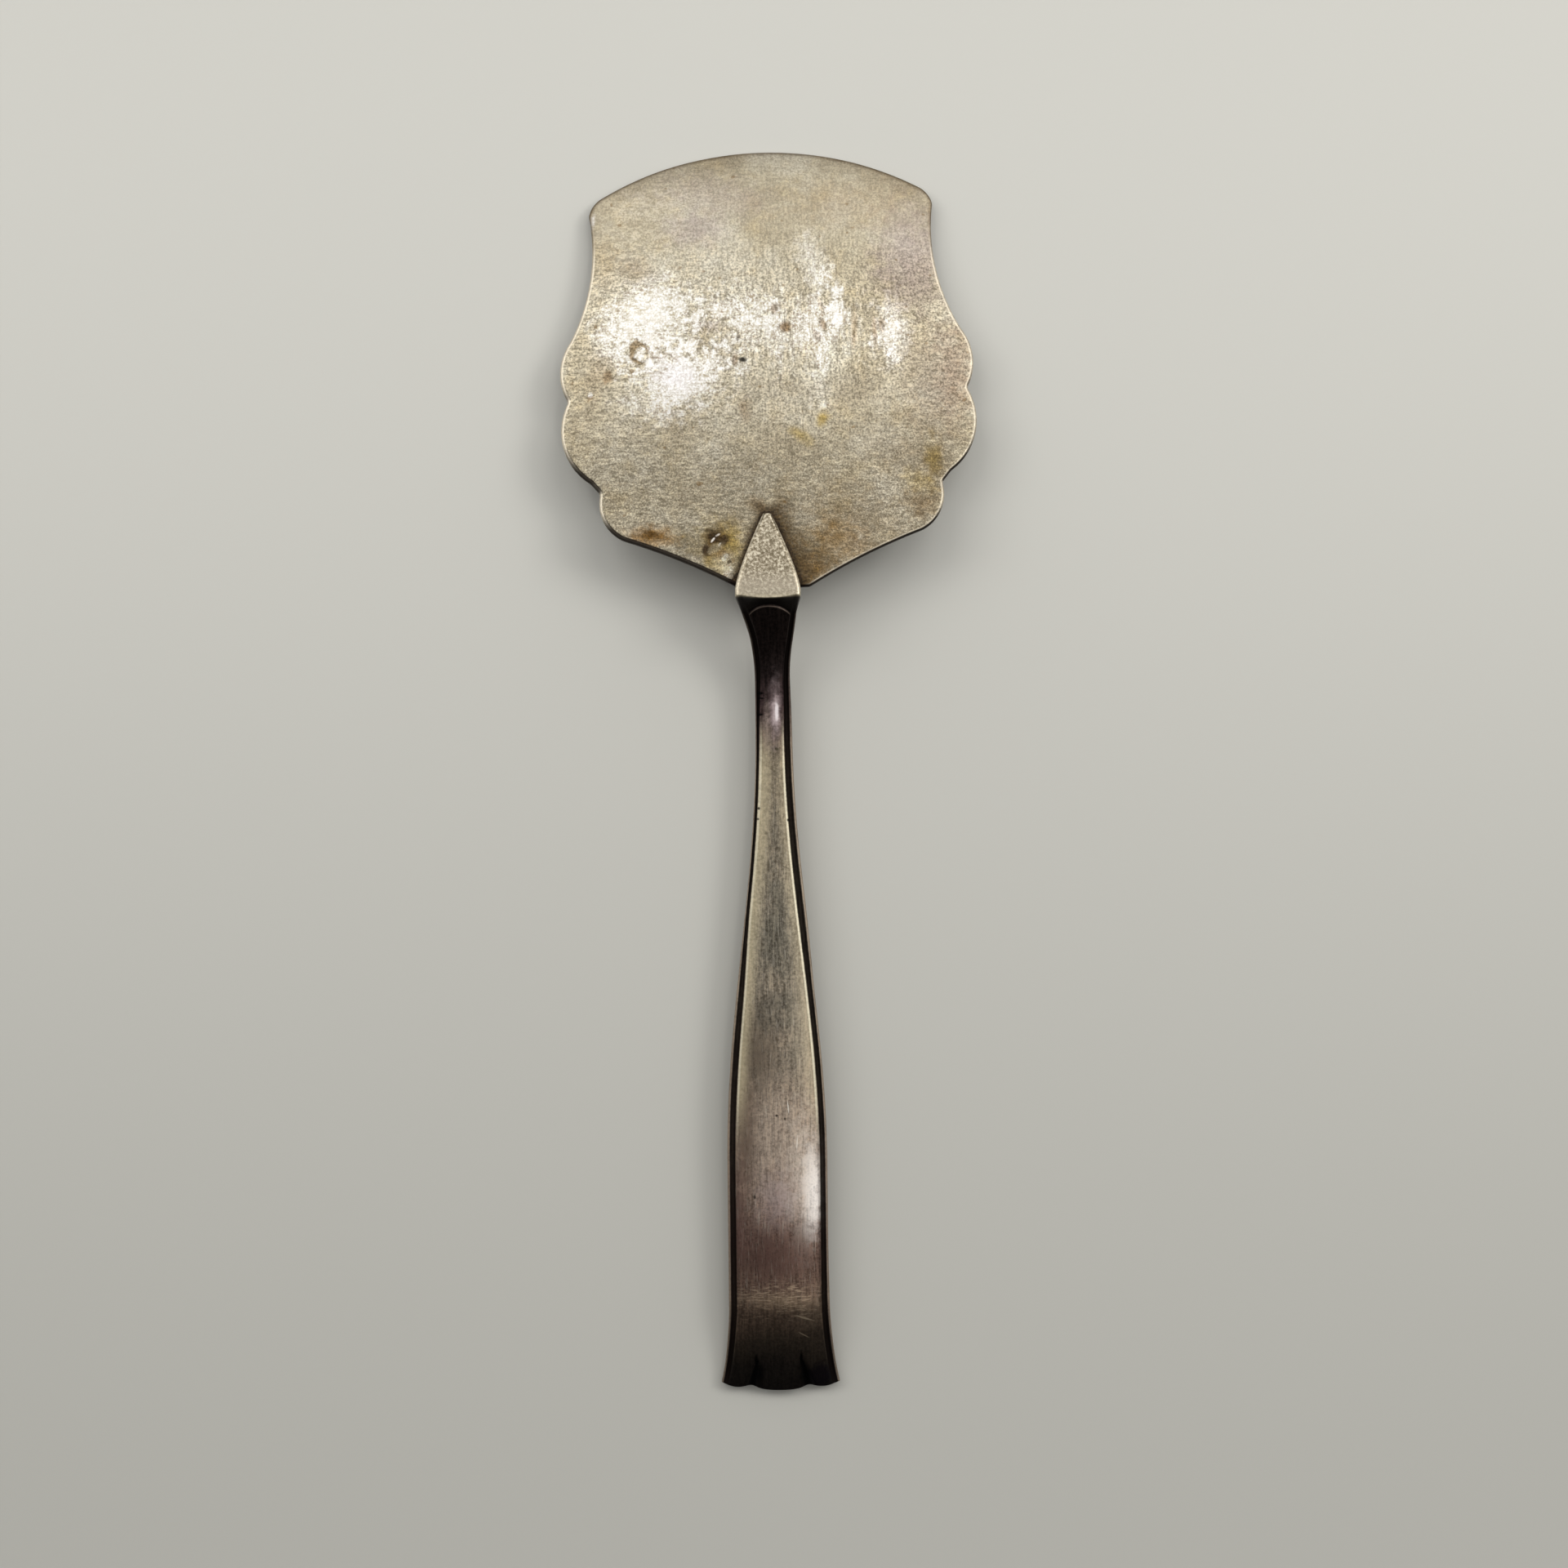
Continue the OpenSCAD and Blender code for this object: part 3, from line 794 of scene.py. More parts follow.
class Value:
    """A value that varies over a surface, with plain arithmetic"""

    def __init__(self, nodes, socket):
        self.nodes, self.socket = nodes, socket

    def __add__(self, other):
        return self.nodes.maths("ADD", self, other)

    def __sub__(self, other):
        return self.nodes.maths("SUBTRACT", self, other)

    def __rsub__(self, other):
        return self.nodes.maths("SUBTRACT", other, self)

    def __mul__(self, other):
        return self.nodes.maths("MULTIPLY", self, other)

    def __truediv__(self, other):
        return self.nodes.maths("DIVIDE", self, other)

    __radd__, __rmul__ = __add__, __mul__


class Nodes:
    """A node tree and short ways to add to it"""

    def __init__(self, tree, coordinates):
        self.tree = tree
        self.place = self.node("TexCoord", {}, coordinates)

    def feed(self, node, inputs):
        """Links values to a node's inputs, or sets numbers, lists and display colours on them"""
        for name, value in inputs.items():
            if isinstance(value, Value):
                self.tree.links.new(value.socket, node.inputs[name])
            else:
                plain = node_colour(value) if isinstance(value, tuple) else value
                node.inputs[name].default_value = plain

    def node(self, kind, inputs, output=0, **settings):
        made = self.tree.nodes.new("ShaderNode" + kind)
        for name, value in settings.items():
            setattr(made, name, value)
        self.feed(made, inputs)
        return Value(self, made.outputs[output])

    def maths(self, operation, a, b):
        return self.node("Math", {0: a, 1: b}, operation=operation)

    def part(self, axis):
        return self.node("SeparateXYZ", {0: self.place}, axis)

    def blend(self, amount, a, b, kind="MIX"):
        return self.node("Mix", {"Factor": amount, 6: a, 7: b}, 2, data_type="RGBA", blend_type=kind)

    def layers(self, base, *layers):
        """Paints layers over a base in turn, each an amount and a colour"""
        for amount, colour in layers:
            base = self.blend(amount, base, colour)
        return base

    def ramp(self, value, *stops):
        made = self.node("ValToRGB", {"Fac": value})
        marks = made.socket.node.color_ramp.elements
        while len(marks) < len(stops):
            marks.new(0.5)
        for mark, (position, colour) in zip(marks, stops):
            mark.position = position
            mark.color = node_colour(colour)
        return made


class Paint(Nodes):
    """A material and short ways to paint it"""

    def __init__(self, name):
        self.material = bpy.data.materials.new(name)
        self.material.use_nodes = True
        super().__init__(self.material.node_tree, "Object")
        self.shake = (self.noise(650, 4) - 0.5) * SPOT_SHAKE

    def value(self, name):
        return self.node("Attribute", {}, "Fac", attribute_name=name)

    def stretched(self, x, y, z, turn=0.0):
        return self.node("Mapping", {"Vector": self.place, "Rotation": [0, 0, turn], "Scale": [x, y, z]})

    def noise(self, scale, detail, roughness=0.55, vector=None):
        inputs = {"Vector": vector or self.place, "Scale": scale, "Detail": detail, "Roughness": roughness}
        return self.node("TexNoise", inputs, "Fac")

    def lines(self, across, along, turn=0.0):
        """Streaks: fine across and long along, in cycles per metre"""
        return self.noise(1, 3, 0.7, self.stretched(across, along, along, turn))

    def step(self, value, low, high):
        """A smooth rise from 0 to 1 as the value goes from low to high, whichever is larger"""
        inputs = {"Value": value, "From Min": low, "From Max": high}
        return self.node("MapRange", inputs, interpolation_type="SMOOTHSTEP")

    def band(self, value, start, end, soft):
        """1 between start and end, falling to 0 over a soft distance on both sides"""
        return self.step(value, start - soft, start) * self.step(value, end + soft, end)

    def spot(self, column, row, wide, long, turn=0.0, core=0.4):
        """1 around a place of the picture and 0 outside an oval, half sizes in millimetres"""
        off = self.node("VectorMath", {0: self.place, 1: [*at_pixel(column, row), 0]}, operation="SUBTRACT")
        facing = self.node("VectorRotate", {"Vector": off, "Angle": turn}, rotation_type="Z_AXIS")
        halves = [1 / (wide * MM), 1 / (long * MM), 0]
        sized = self.node("VectorMath", {0: facing, 1: halves}, operation="MULTIPLY")
        reach = self.node("VectorMath", {0: sized}, "Value", operation="LENGTH")
        return self.step(reach + self.shake, 1, core)

    def marks(self, base, marks, large, core=0.0, worn=1.0):
        """Paints marks in turn. Those over a large half size have soft edges and are broken by wear"""
        for _, column, row, wide, long, turn, colour, strength in marks:
            if max(wide, long) > large:
                amount = self.spot(column, row, wide, long, turn, core) * strength * worn
            else:
                amount = self.spot(column, row, wide, long, turn) * strength
            base = self.blend(amount, base, colour)
        return base

    def surface(self, inputs):
        self.feed(self.tree.nodes["Principled BSDF"], inputs)
        return self.material

    def metal(self, colour, rough, height, strength):
        """Worn metal of a colour and roughness, with a fine relief"""
        relief = self.node("Bump", {"Height": height, "Distance": RELIEF * MM, "Strength": strength})
        return self.surface({"Base Color": colour, "Roughness": rough, "Metallic": METALLIC,
                             "Normal": relief})


BROWN = (112, 84, 44)
DARK_BROWN = (56, 40, 24)
YELLOW = (168, 146, 84)
OCHRE = (138, 104, 48)
PURPLE = (148, 134, 134)
PALE = (236, 234, 230)

# Painted highlights on the blade, paler patches where the lamps reflect in its back: places in the picture,
# half width and half length in millimetres, turn and strength
PAINTED_HIGHLIGHTS = (
    ("left", 800, 388, 12, 12, 0.3, 1),
    ("left edge", 745, 420, 6, 8.5, 0, 0.6),
    ("left low", 838, 463, 14, 9, -0.25, 0.9),
    ("left foot", 775, 505, 13, 7, 0.1, 0.25),
    ("right", 996, 322, 5, 11, -0.35, 0.6),
    ("right streak", 1026, 380, 2.6, 9, -0.12, 0.5),
    ("right low streak", 1002, 468, 3.4, 8, 0.05, 0.55),
    ("far streak", 1092, 407, 5.5, 11.5, 0.05, 0.85),
    ("middle", 962, 402, 21, 10.5, 0, 0.72),
    ("middle high", 890, 372, 11, 8, 0, 0.34),
    ("low", 920, 515, 30, 8, 0.1, 0.22),
    ("front left", 790, 255, 15, 10, 0.3, 0.3),
)
# Marks on the blade: name, place in the picture, half width and half length in millimetres, turn,
# colour and strength
BLADE_MARKS = (
    # The next six marks are painted shade, the blade darker towards its front and its right edge where the
    # dish turns from the lamps; the purple at the front is tarnish
    ("painted shade front", 870, 240, 15, 6, 0.15, PURPLE, 0.3),
    ("painted shade front right", 1112, 310, 9, 14, 0, PURPLE, 0.55),
    ("painted shade middle", 850, 282, 8, 4.5, 0, PURPLE, 0.45),
    ("painted shade edge right", 1145, 470, 9, 17, 0, (134, 120, 104), 0.55),
    ("painted shade edge far right", 1169, 456, 5, 13, 0, (138, 120, 102), 0.66),
    ("painted shade edge low right", 1110, 560, 12, 10, 0.3, (130, 116, 94), 0.45),
    # The next mark is part of the painted highlight, with a lilac tint
    ("lilac left", 826, 460, 7, 5, 0.2, (224, 221, 224), 0.5),
    ("warm front", 1032, 250, 14, 6.5, 0, (152, 134, 106), 0.45),
    # The next three marks are painted shade where the dish turns from the lamps
    ("painted shade corner right", 1122, 350, 8, 6, 0, (136, 124, 112), 0.58),
    ("painted shade middle right", 1050, 476, 8, 4.5, 0, (142, 130, 110), 0.4),
    ("painted shade middle low", 948, 474, 11, 3.5, 0.1, (150, 138, 116), 0.32),
    # The next four marks are painted shade low towards the rear, where the blade's edges rise from the
    # table, mixed with stain
    ("dark rear far left", 852, 668, 7, 4.6, 0.5, (100, 86, 56), 0.6),
    ("painted shade low middle", 906, 585, 12, 8.5, 0, (116, 104, 80), 0.34),
    ("dark foot right", 1004, 676, 8, 6, 0.4, (84, 70, 44), 0.5),
    ("dark lobe right", 1146, 578, 4, 6.5, 0, (98, 80, 52), 0.45),
    ("brown foot right", 1004, 690, 5, 3.6, 0.4, (88, 68, 38), 0.6),
    ("brown stroke right", 1046, 404, 0.8, 5, 0.05, (150, 128, 96), 0.6),
    ("brown stroke far right", 1071, 404, 0.7, 4.6, -0.04, (146, 122, 90), 0.6),
    ("brown stroke middle", 1004, 372, 0.6, 2.6, -0.3, (148, 126, 92), 0.5),
    ("warm front left", 736, 326, 5, 8, 0, (160, 142, 108), 0.5),
    ("brown shadow left", 778, 330, 6, 3.5, 0.6, BROWN, 0.32),
    ("brown shadow far left", 735, 455, 3.5, 6, 0.2, BROWN, 0.3),
    # The next two marks are painted shade towards the rear, mixed with stain
    ("dark rear left", 790, 580, 15, 9, 0.2, (112, 102, 82), 0.22),
    ("dark rear right", 1050, 635, 17, 8, 0.3, (116, 94, 56), 0.45),
    ("brown patch", 868, 400, 3, 1.8, 0, BROWN, 0.4),
    ("brown streak", 912, 500, 1.8, 3.5, -0.1, BROWN, 0.45),
    ("round brown spot", 961, 401, 1.5, 1.3, 0, BROWN, 0.8),
    ("small brown spot", 948, 378, 0.8, 1.3, 0.3, BROWN, 0.6),
    ("brown spot right", 1008, 398, 0.8, 1.8, -0.4, BROWN, 0.65),
    ("brown smear right", 1001, 412, 0.8, 2, -0.5, BROWN, 0.45),
    ("brown spot low right", 1080, 398, 0.9, 1.8, 0, BROWN, 0.5),
    ("yellow fleck", 1008, 512, 1.7, 2.1, 0.3, YELLOW, 0.85),
    ("yellow fleck trail", 980, 533, 3.8, 1.5, 0.7, YELLOW, 0.6),
    ("yellow edge", 1143, 558, 2.4, 6, -0.1, (132, 112, 62), 0.7),
    ("yellow edge low", 1125, 590, 4.5, 3, 0.5, YELLOW, 0.45),
    ("brown stain low left", 797, 657, 5.4, 2.8, 0.1, (146, 106, 40), 0.95),
    ("brown stain core", 797, 656, 3.2, 1.4, 0.1, (80, 54, 18), 0.85),
    ("halo", 884, 664, 6.4, 5.4, 0.2, YELLOW, 0.7),
    ("halo gold", 893, 661, 2.2, 3.2, -0.4, (156, 134, 70), 0.65),
    ("halo low", 890, 692, 5, 4.4, -0.5, YELLOW, 0.6),
    ("halo ochre", 884, 679, 3, 1.6, 0.5, OCHRE, 0.7),
    ("residue", 893, 694, 2.6, 4, -0.6, (200, 192, 168), 0.8),
    ("residue fleck", 887, 683, 0.5, 0.9, 0.6, (226, 222, 204), 0.8),
    ("residue fleck low", 896, 697, 0.45, 0.8, -0.5, (222, 216, 196), 0.8),
    ("residue hole", 893, 688, 0.4, 0.6, 0.9, DARK_BROWN, 0.8),
    ("residue hole low", 896, 708, 0.9, 0.5, 0.3, (30, 22, 14), 0.9),
    ("pit ring", 876, 661, 3.5, 3.9, 0.3, (88, 64, 26), 0.95),
    ("pit", 874, 656, 2.3, 1.9, 0.6, (38, 24, 10), 0.95),
    ("pit left", 864, 672, 0.9, 1.4, 0.1, (46, 30, 14), 0.9),
    ("pit right", 886, 662, 0.9, 1.4, 0.5, DARK_BROWN, 0.85),
    ("pit floor", 877, 671, 1.7, 1, -0.5, (158, 146, 118), 0.75),
    ("pit glint", 873, 661, 0.24, 0.62, 0.7, (214, 206, 196), 0.85),
    ("pit glint high", 879, 655, 0.22, 0.55, 1.1, (206, 198, 186), 0.8),
    ("pit glint low", 881, 667, 0.24, 0.6, 0.6, (190, 182, 166), 0.7),
    ("black pit", 909, 440, 0.85, 0.6, 0.2, (24, 22, 22), 0.95),
    ("black pit left", 900, 440, 0.7, 1.4, 0.1, BROWN, 0.6),
    ("small pit", 904, 412, 0.45, 0.8, 0.2, DARK_BROWN, 0.6),
    # The next mark is painted highlight inside the foot of the ring of wear
    ("hook foot", 795, 445, 1.1, 1, 0, PALE, 0.85),
    ("hook line", 803, 438, 1.6, 0.16, 0.1, BROWN, 0.6),
    ("bright dot", 723, 484, 0.5, 0.6, 0, PALE, 0.65),
    ("brown flecks left", 743, 462, 1.3, 1.7, 0.2, BROWN, 0.55),
    ("bright corner", 725, 273, 0.7, 2.2, 0.2, PALE, 0.7),
    ("solder tip", 930, 620, 3.4, 2.2, 0.5, BROWN, 0.6),
    ("solder tip core", 929, 620, 1.8, 1, 0.6, DARK_BROWN, 0.35),
    ("solder fillet", 956, 625, 2.4, 1, -0.6, (196, 188, 170), 0.5),
    ("solder corner left", 899, 711, 1.8, 1.6, 0.4, (30, 22, 16), 0.9),
    ("solder corner pale", 892, 704, 1.2, 0.9, 0.4, (206, 198, 180), 0.8),
    ("solder corner right", 994, 698, 4.6, 3, 0.5, OCHRE, 0.6),
    ("solder corner right dark", 986, 714, 2, 1.2, 0.5, DARK_BROWN, 0.7),
    ("brown lower right", 1030, 662, 9, 5.5, 0.4, OCHRE, 0.45),
    # The next mark is painted shade on the edges of the right lobes, with stain
    ("brown right", 1130, 618, 5, 4, 0.8, BROWN, 0.5),
)
# Half size in millimetres over which a mark is soft and broken by wear
LARGE_BLADE_MARK = 2
# Ring of wear: place in the picture, half sizes in millimetres and turn
HOOK_OUTER = (782, 432, 1.7, 2.5, -0.4)
HOOK_INNER = (785, 434, 1.224, 1.8, -0.4)
# Where the blade is brushed upright, and where it is rubbed in strokes: place and half sizes
BRUSHED_UP = (985, 370, 36, 42)
STROKED = (1010, 410, 22, 20)

# Stretches along the table over which the blade's look changes, in metres
CALM_FRONT = (0.078, 0.094)
FRONT_EDGE = (0.084, 0.094)
REAR_PITS_AND_SHADE = (0.07, 0.046)


def blade_ground(paint, clouds, drifts):
    """Champagne silver with warmer drifts of tarnish"""
    base = paint.ramp(clouds, (0.3, (150, 139, 117)), (0.48, (170, 161, 140)), (0.7, (190, 184, 168)))
    return paint.blend(paint.step(drifts, 0.48, 0.72) * 0.35, base, (190, 172, 134))


def painted_highlight(paint, base, drifts, grain):
    """Painted highlight, paler where the lamps reflect in the back, in upright strokes towards the right"""
    strokes = (paint.lines(520, 110, rad(-4)) - 0.5) * paint.spot(*STROKED, 0, 0)
    field = sum(paint.spot(*place, turn, 0) * strength for _, *place, turn, strength in PAINTED_HIGHLIGHTS)
    field = field + (drifts - 0.5) * 0.55 + (grain - 0.5) * 0.55 + strokes * 1.9
    return paint.blend(paint.step(field, 0.1, 1.25) * 0.85, base, PALE)


def hook_line(paint):
    """An open ring of wear on the left"""
    return paint.spot(*HOOK_OUTER, 0.8) * (1 - paint.spot(*HOOK_INNER, 0.7))


def tongue_seam(paint, base, drifts, grain):
    """Stain and dirt along the tongue with painted shade in the corner at its foot, wider on its right"""
    off = paint.value("off_tongue")
    on_right = paint.step(paint.part("X"), HANDLE_X - 0.5 * MM, HANDLE_X + 1.5 * MM)
    reach = (off + (drifts - 0.5) * 2.4) / (2.2 + on_right * 3.2)
    stain = paint.step(reach, 1, 0.2) * (0.45 + grain) * (0.7 + on_right * 0.25)
    # Dark line at the tongue's foot: dirt and painted shade in the corner
    dirt = paint.step(off + (grain - 0.5) * 1.2, 1.25, 0.25)
    return paint.layers(base, (stain, (80, 63, 38)), (dirt * 0.9, (38, 26, 17)))


def blade_weave(paint, grain):
    """Brushing, upright near the middle and crosswise elsewhere, mixed with grain"""
    up_here = paint.spot(*BRUSHED_UP, 0, 0)
    brushed = paint.lines(2300, 420) * up_here + paint.lines(520, 2000, rad(8)) * (1 - up_here)
    fine_grain = paint.noise(3200, 1, 0.6)
    return brushed * 0.35 + grain * 0.35 + fine_grain * 0.3


def pitted(paint, base, grain, weave):
    """The weave as light and dark, pits that are denser towards the rear, and painted shade there"""
    contrast = paint.ramp(weave, (0.42, (98, 93, 84)), (0.5, (188, 188, 188)), (0.58, (255, 254, 252)))
    calm = paint.step(paint.part("Y"), *CALM_FRONT)
    base = paint.blend(0.66 - calm * 0.32, base, contrast, "OVERLAY")
    rear = paint.step(paint.part("Y"), *REAR_PITS_AND_SHADE)
    pits = paint.step(grain, 0.5, 0.6) * (0.2 + rear * 0.8)
    specks = paint.step(paint.noise(620, 1, 0.5), 0.74, 0.79)
    # The middle layer is painted shade towards the rear
    layers = (pits * 0.5, (84, 70, 50)), (rear * 0.13, (60, 56, 46)), (specks * 0.5, BROWN)
    return paint.layers(base, *layers), pits


def rimmed(paint, base, drifts):
    """A pale worn rim with a painted highlight; painted shade facing the handle, on the front lip and side
    wall
    """
    rim = paint.value("rim")
    at_front = paint.step(paint.part("Y"), *FRONT_EDGE)
    on_left = paint.step(paint.part("X"), HANDLE_X, HANDLE_X - 3 * MM)
    # Painted highlight on the rounded rim, partly real edge wear
    pale = paint.step(rim, 0.62, 0.3) * (1 - at_front) * paint.step(paint.value("off_tongue"), 0.6, 3)
    pale = pale * (0.3 + drifts * 0.9) * (0.65 + on_left * 0.35)
    # Painted shade on the rim where it faces the handle
    shade_facing_handle = paint.step(paint.value("rear"), 0.1, 0.7) * paint.step(rim + on_left * -0.4, 0.4, 0.2)
    # Painted shade along the front lip where it turns down, darkest at the edge
    dark = (paint.step(rim, 0.9, 0.2) + paint.step(rim, 4, 1) * 0.35) * at_front
    # Painted shade on the side wall
    side = paint.value("under") * paint.step(rim, 1.5, 0.4)
    return paint.layers(base, (pale, (240, 229, 208)), (shade_facing_handle * 0.95, (24, 15, 10)),
                        (dark * 0.45, (96, 78, 56)), (side * 0.85, DARK_BROWN))


def blade_material():
    paint = Paint("worn_silver_plate")
    clouds = paint.noise(75, 5, 0.62)
    drifts = paint.noise(210, 6, 0.7)
    grain = paint.noise(2250, 2, 0.65)
    plain = blade_ground(paint, clouds, drifts)
    hook = hook_line(paint)
    # Painted highlight over the ground, then the ring of wear over it
    base = paint.blend(hook * 0.85, painted_highlight(paint, plain, drifts, grain), (128, 108, 76))
    base = paint.marks(base, BLADE_MARKS, LARGE_BLADE_MARK, 0.05, 0.45 + drifts * 1.1)
    base = tongue_seam(paint, base, drifts, grain)
    base = paint.blend(paint.value("under"), base, plain)
    weave = blade_weave(paint, grain)
    base, pits = pitted(paint, base, grain, weave)
    base = rimmed(paint, base, drifts)
    rough = 0.38 + clouds * 0.1 + weave * 0.12 + pits * 0.12
    height = weave * 0.9 + pits * -0.5 + hook * -2.0
    return paint.metal(base, rough, height, 0.8)


# Marks on the handle, in the same form
HANDLE_MARKS = (
    ("neck sheen", 949, 872, 1.5, 8, 0, (190, 170, 170), 0.5),
    ("neck sheen left", 939, 884, 0.9, 6, 0, (178, 160, 150), 0.45),
    ("neck glint wide", 950, 874, 0.9, 3.5, 0, (226, 208, 208), 0.75),
    ("neck glint", 951, 872, 0.42, 1.7, 0, (255, 246, 246), 0.85),
    ("grip glint", 995, 1458, 2.5, 11, 0, (255, 250, 246), 0.95),
    ("grip glint wide", 985, 1443, 5, 17, 0.03, (226, 214, 200), 0.5),
    ("pale grip", 945, 1400, 9, 18, 0, (196, 182, 166), 0.35),
    # The next mark is painted shade on the left of the grip, darker than its middle
    ("painted shade grip left", 912, 1385, 3.2, 19, 0, (92, 72, 58), 0.6),
    ("brown grip high", 925, 1290, 6, 12, 0, (84, 72, 60), 0.55),
    ("pale grip high", 980, 1270, 3, 16, -0.06, (196, 184, 160), 0.35),
    ("lilac grip", 952, 1468, 5.5, 7.5, 0, (168, 152, 154), 0.4),
    ("purple grip", 942, 1543, 14, 9, 0, (90, 67, 60), 0.76),
    ("purple grip left", 905, 1484, 3, 12, 0, (108, 82, 75), 0.6),
    ("worn bend", 955, 1594, 11, 2.6, 0.03, (146, 127, 104), 0.46),
    ("worn bend right", 993, 1610, 3.5, 4, 0.6, (134, 118, 98), 0.4),
    ("neck pit", 951, 917, 0.36, 0.36, 0, (20, 16, 12), 0.9),
    ("shank pit", 938, 1020, 0.4, 0.34, 0, (20, 16, 12), 0.9),
    ("grip pit", 951, 1366, 0.38, 0.34, 0, (30, 24, 20), 0.9),
    ("grip pit right", 961, 1370, 0.26, 0.34, 0, (44, 36, 30), 0.8),
    ("grip pit low", 924, 1466, 0.3, 0.5, 0, (30, 24, 20), 0.8),
    # The next five marks are painted shade in the grooves of the lobed end, blackest on their steep sides,
    # and to the right of the right groove
    ("groove shade left", 929, 1683, 1.5, 3.5, 0.12, (1, 1, 2), 0.97),
    ("groove shade left tip", 926, 1664, 0.4, 1.5, 0, (1, 1, 1), 0.95),
    ("groove shade right", 986, 1682, 1.6, 3.7, -0.12, (1, 1, 1), 0.97),
    ("groove shade right tip", 981, 1661, 0.4, 1.7, 0, (1, 1, 1), 0.95),
    ("groove shade right side", 1003, 1684, 3, 2.8, 0, (14, 8, 20), 0.6),
    ("scratch", 985, 1613, 0.2, 2.1, -1.26, (178, 160, 136), 0.85),
    ("scratch below", 985, 1634, 0.18, 1.3, -1.06, (150, 134, 114), 0.8),
    ("hair line", 965, 1355, 0.12, 1.4, -0.1, (232, 226, 214), 0.8),
    ("hair line low", 976, 1400, 0.12, 1.7, 0.05, (232, 226, 214), 0.8),
    ("fold", 962, 1062, 1.2, 0.12, 0.35, (60, 54, 46), 0.7),
)
LARGE_HANDLE_MARK = 3.41
# Nicks in the edge of the panel, over its bright line, in the same form
PANEL_NICKS = (
    ("nick high", 931, 849, 0.9, 0.34, 0, (2, 2, 2), 1),
    ("nick", 932, 855, 0.9, 0.22, 0.1, (4, 3, 3), 1),
    ("nick low", 931, 875, 0.8, 0.26, -0.1, (4, 3, 3), 1),
    ("nick on the shank", 929, 990, 0.3, 0.3, 0, (30, 22, 16), 0.9),
    ("nick below it", 928, 1003, 0.3, 0.25, 0, (30, 22, 16), 0.8),
    ("nick on the right", 965, 1004, 0.25, 0.3, 0, (24, 18, 14), 0.9),
)
# Scuffs across the bend: place and half sizes
SCUFFED = (955, 1592, 13, 4.6)
# Colour by the share of the handle's length: tarnish, with painted shade making the steep neck
# and the turned-down end near black
TARNISH_AND_SHADE = (
    (0, (34, 27, 24)), (0.09, (40, 32, 31)), (0.14, (66, 52, 52)), (0.17, (98, 82, 76)),
    (0.205, (138, 126, 108)), (0.42, (150, 140, 123)), (0.6, (150, 135, 118)), (0.74, (148, 128, 114)),
    (0.8, (108, 87, 78)), (0.9, (102, 85, 72)), (0.935, (64, 55, 46)), (0.965, (38, 33, 29)),
    (1, (28, 25, 23)),
)


def handle_ground(paint, along, clouds, grain, streaks):
    """Tarnish and painted shade along the handle, and the greyer streak down the middle of the shank"""
    base = paint.ramp(along + (clouds - 0.5) * 0.07, *TARNISH_AND_SHADE)
    distance = paint.value("along")
    middle = paint.band(distance, 26, 74, 10) * paint.step(paint.value("inset"), 0.4, 3.4)
    base = paint.blend(middle * paint.step(clouds, 0.3, 0.62) * 0.66, base, (84, 83, 75))
    fibre = streaks * 0.55 + grain * 0.45
    contrast = paint.ramp(fibre, (0.4, (92, 84, 74)), (0.5, (188, 188, 188)), (0.6, (255, 252, 246)))
    calm = paint.step(distance, 114, 124)
    return paint.blend(0.64 - calm * 0.3, base, contrast, "OVERLAY")


def scuffed_bend(paint, base):
    """Crosswise scuffs where the end bends down"""
    scuffs = paint.step(paint.noise(1, 3, 0.65, paint.stretched(700, 3600, 700, rad(4))), 0.5, 0.66)
    return paint.blend(scuffs * paint.spot(*SCUFFED, 0, 0.2) * 0.62, base, (186, 164, 138))


def rubbed_and_lit_borders(paint, base, distance, inset, grain, clouds):
    """The panel's rubbed edges along the shank with a painted highlight, and the fine line of its arch"""
    shank = paint.band(distance, 30, 80, 12)
    broken = 0.25 + grain * 0.7 + clouds * 0.5
    left = paint.step(paint.part("X"), HANDLE_X + 0.5 * MM, HANDLE_X - 0.5 * MM)
    # glow and line are a painted highlight just inside the panel's rolled edges, broken by wear
    glow = paint.step(inset, 2.6, 0.3) * paint.step(inset, 0, 0.2) * shank * broken * (0.28 + left * 0.36)
    line = paint.band(inset, 0.14, 0.3, 0.16) * shank * broken * (1 + left * -0.3)
    arch = paint.band(distance, PANEL_START - 0.06, PANEL_START + 0.08, 0.1) * paint.step(inset, -0.1, 0.2)
    layers = (glow, (228, 213, 176)), (line, (252, 243, 214)), (arch * 0.4, (122, 108, 96))
    return paint.layers(base, *layers), broken


def tongue_colour(paint, distance, grain):
    """Bright granular silver, smoother towards the ridge, with a painted highlight on its edges and ridge
    """
    smooth = paint.step(distance, -5, -1.5)
    base = paint.ramp(grain, (0.36, (102, 92, 74)), (0.5, (141, 131, 112)), (0.64, (192, 183, 163)))
    # Painted highlight along the tongue's rounded edges and its ridge
    edge = paint.step(paint.value("inset"), -0.35, -0.7) * (0.1 + grain) * 0.8
    ridge = paint.step(distance, -0.35, -0.08) * (0.1 + grain) * 0.6
    layers = (smooth * 0.6, (155, 146, 130)), (edge, (236, 224, 198)), (ridge, (232, 220, 188))
    return paint.layers(base, *layers)


def handle_front(paint, base, inset, clouds):
    """The unseen front: the same silver, evenly worn, with dirt held beside its thread"""
    beside = paint.band(inset, 0.1, 0.5, 0.35) * (0.2 + clouds)
    return paint.layers(base, (0.6, (158, 146, 126)), (beside * 0.7, (52, 42, 34)))


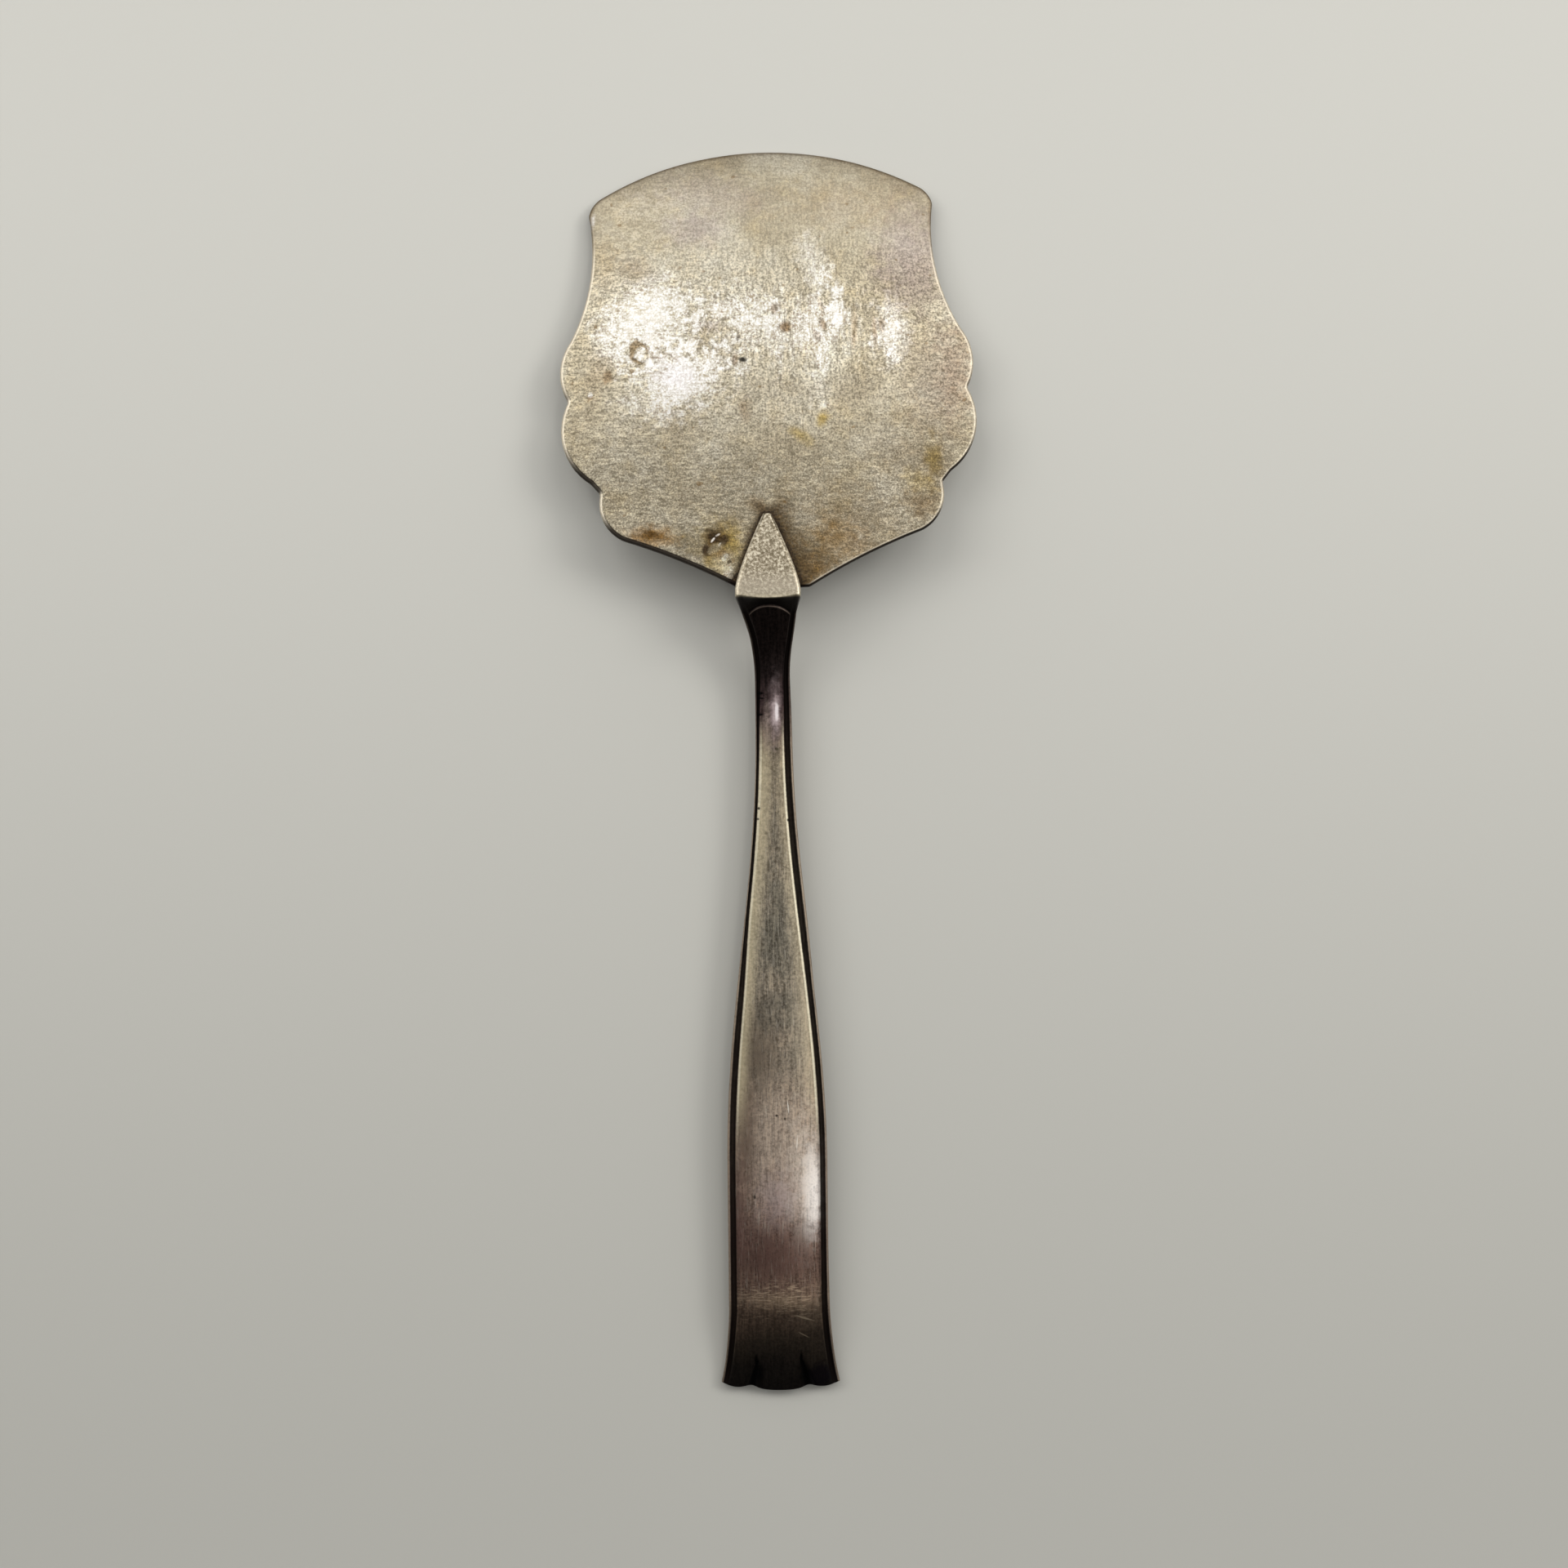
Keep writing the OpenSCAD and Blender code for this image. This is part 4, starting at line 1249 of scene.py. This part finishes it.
def handle_material():
    paint = Paint("tarnished_forging")
    distance, inset = paint.value("along"), paint.value("inset")
    clouds = paint.noise(120, 5, 0.62)
    grain = paint.noise(2250, 2, 0.65)
    streaks = paint.lines(2400, 240)
    hairs = paint.lines(4200, 300, rad(4))
    plain = handle_ground(paint, distance / HANDLE_LENGTH, clouds, grain, streaks)
    light_hairs = paint.step(hairs, 0.54, 0.7) * paint.band(distance, 30, 108, 14) * 0.35
    plain = paint.blend(light_hairs, plain, (214, 204, 188))
    base = paint.marks(plain, HANDLE_MARKS, LARGE_HANDLE_MARK, 0, -0.4 + streaks * 1.3 + grain * 1.5)
    base = scuffed_bend(paint, base)
    base, broken = rubbed_and_lit_borders(paint, base, distance, inset, grain, clouds)
    base = paint.blend(paint.step(distance, 0.12, -0.05), base, tongue_colour(paint, distance, grain))

    behind_ridge = paint.step(distance, 0, 1.2)
    # The coves hold tarnish, and are painted near black as shade on their steep walls
    cove = paint.step(inset, 0.04, -0.1) * paint.step(inset, -0.82, -0.66) * behind_ridge
    # The outer rim is painted lighter, partly wear and partly a painted highlight where its top catches the
    # light
    flank = paint.step(inset, -0.68, -0.8) * behind_ridge * (0.16 + paint.step(distance, 14, 28) * 0.62)
    base = paint.layers(base, (flank * broken, (166, 149, 132)), (cove * 0.95, (18, 11, 8)))
    base = paint.marks(base, PANEL_NICKS, LARGE_HANDLE_MARK)
    step_shade = paint.band(distance, 0.12, 1, 0.1)
    # Painted shade in the grooves of the lobed end
    groove = paint.step(paint.value("groove"), 0.1, 0.6)
    base = paint.layers(base, (step_shade * 0.85, (16, 11, 8)), (groove * 0.95, (2, 2, 2)),
                        (paint.value("under"), handle_front(paint, plain, inset, clouds)))

    rough = 0.27 + clouds * 0.14 + grain * 0.1 + cove * 0.3
    on_tongue = paint.step(distance, 0, -0.3)
    height = streaks * 0.3 + hairs * 0.2 + grain * 0.3 + on_tongue * grain * 1.5
    return paint.metal(base, rough, height, 0.7)


blade_piece.data.materials.append(blade_material())
handle_piece.data.materials.append(handle_material())


# Floor

FLOOR_HALF = 4.0
FLOOR_FADE = (-0.14, 0.12)


def make_floor():
    mesh = bpy.data.meshes.new("floor")
    corners = [(x * FLOOR_HALF, y * FLOOR_HALF, 0) for x, y in ((-1, -1), (1, -1), (1, 1), (-1, 1))]
    mesh.from_pydata(corners, [], [(0, 1, 2, 3)])
    floor = new_object("floor", mesh)
    paint = Paint("pale_table")
    # The table is painted darker towards -Y: a painted falloff of light away from the lamps
    shade = paint.blend(paint.step(paint.part("Y"), *FLOOR_FADE), (188, 187, 180), (212, 211, 204))
    dull = {"Base Color": shade, "Roughness": 0.85, "Specular IOR Level": 0.2}
    mesh.materials.append(paint.surface(dull))


make_floor()


# Light: five lamps, and a world that is bright beyond the front of the blade, dim behind the
# handle, and an even pale grey along the horizon

HORIZON_GREY = 0.42
HORIZON_TOP = 0.3
HORIZON_FOOT = 0.12
# Brightness of the world by the Y of the direction
WORLD_STOPS = (
    (-0.8, 0.03), (-0.5, 0.05), (-0.25, 0.27), (0.08, 0.55), (0.4, 0.93), (0.6, 0.93), (0.8, 0.6))


def make_world():
    scene.world = bpy.data.worlds.new("studio")
    scene.world.use_nodes = True
    nodes = Nodes(scene.world.node_tree, "Generated")
    sky = nodes.ramp((nodes.part("Y") + 1) * 0.5, *[((y + 1) / 2, grey) for y, grey in WORLD_STOPS])
    height = {"Value": nodes.part("Z"), "From Min": HORIZON_TOP, "From Max": HORIZON_FOOT}
    sky = nodes.blend(nodes.node("MapRange", height), sky, node_colour(HORIZON_GREY))
    nodes.feed(nodes.tree.nodes["Background"], {"Color": sky})


def make_lamp(name, place, size, power, colour=(1, 0.985, 0.96)):
    data = bpy.data.lights.new(name, "AREA")
    data.shape = "DISK"
    data.size = size
    data.energy = power
    data.color = colour
    lamp = new_object(name, data)
    lamp.location = place
    lamp.rotation_euler = (-Vector(place)).to_track_quat("-Z", "Y").to_euler()


make_world()
make_lamp("lamp_left", (-0.26, 0.42, 0.6), 0.36, 0.75)
make_lamp("lamp_right", (0.24, 0.42, 0.6), 0.36, 0.7)
make_lamp("lamp_behind", (0.16, -0.25, 0.8), 0.07, 0.3)
make_lamp("lamp_far_left", (-0.45, 0.25, 0.42), 0.25, 0.5)
make_lamp("lamp_far_right", (0.62, 0.32, 0.6), 0.34, 2.2)

scene.view_settings.view_transform = "Standard"
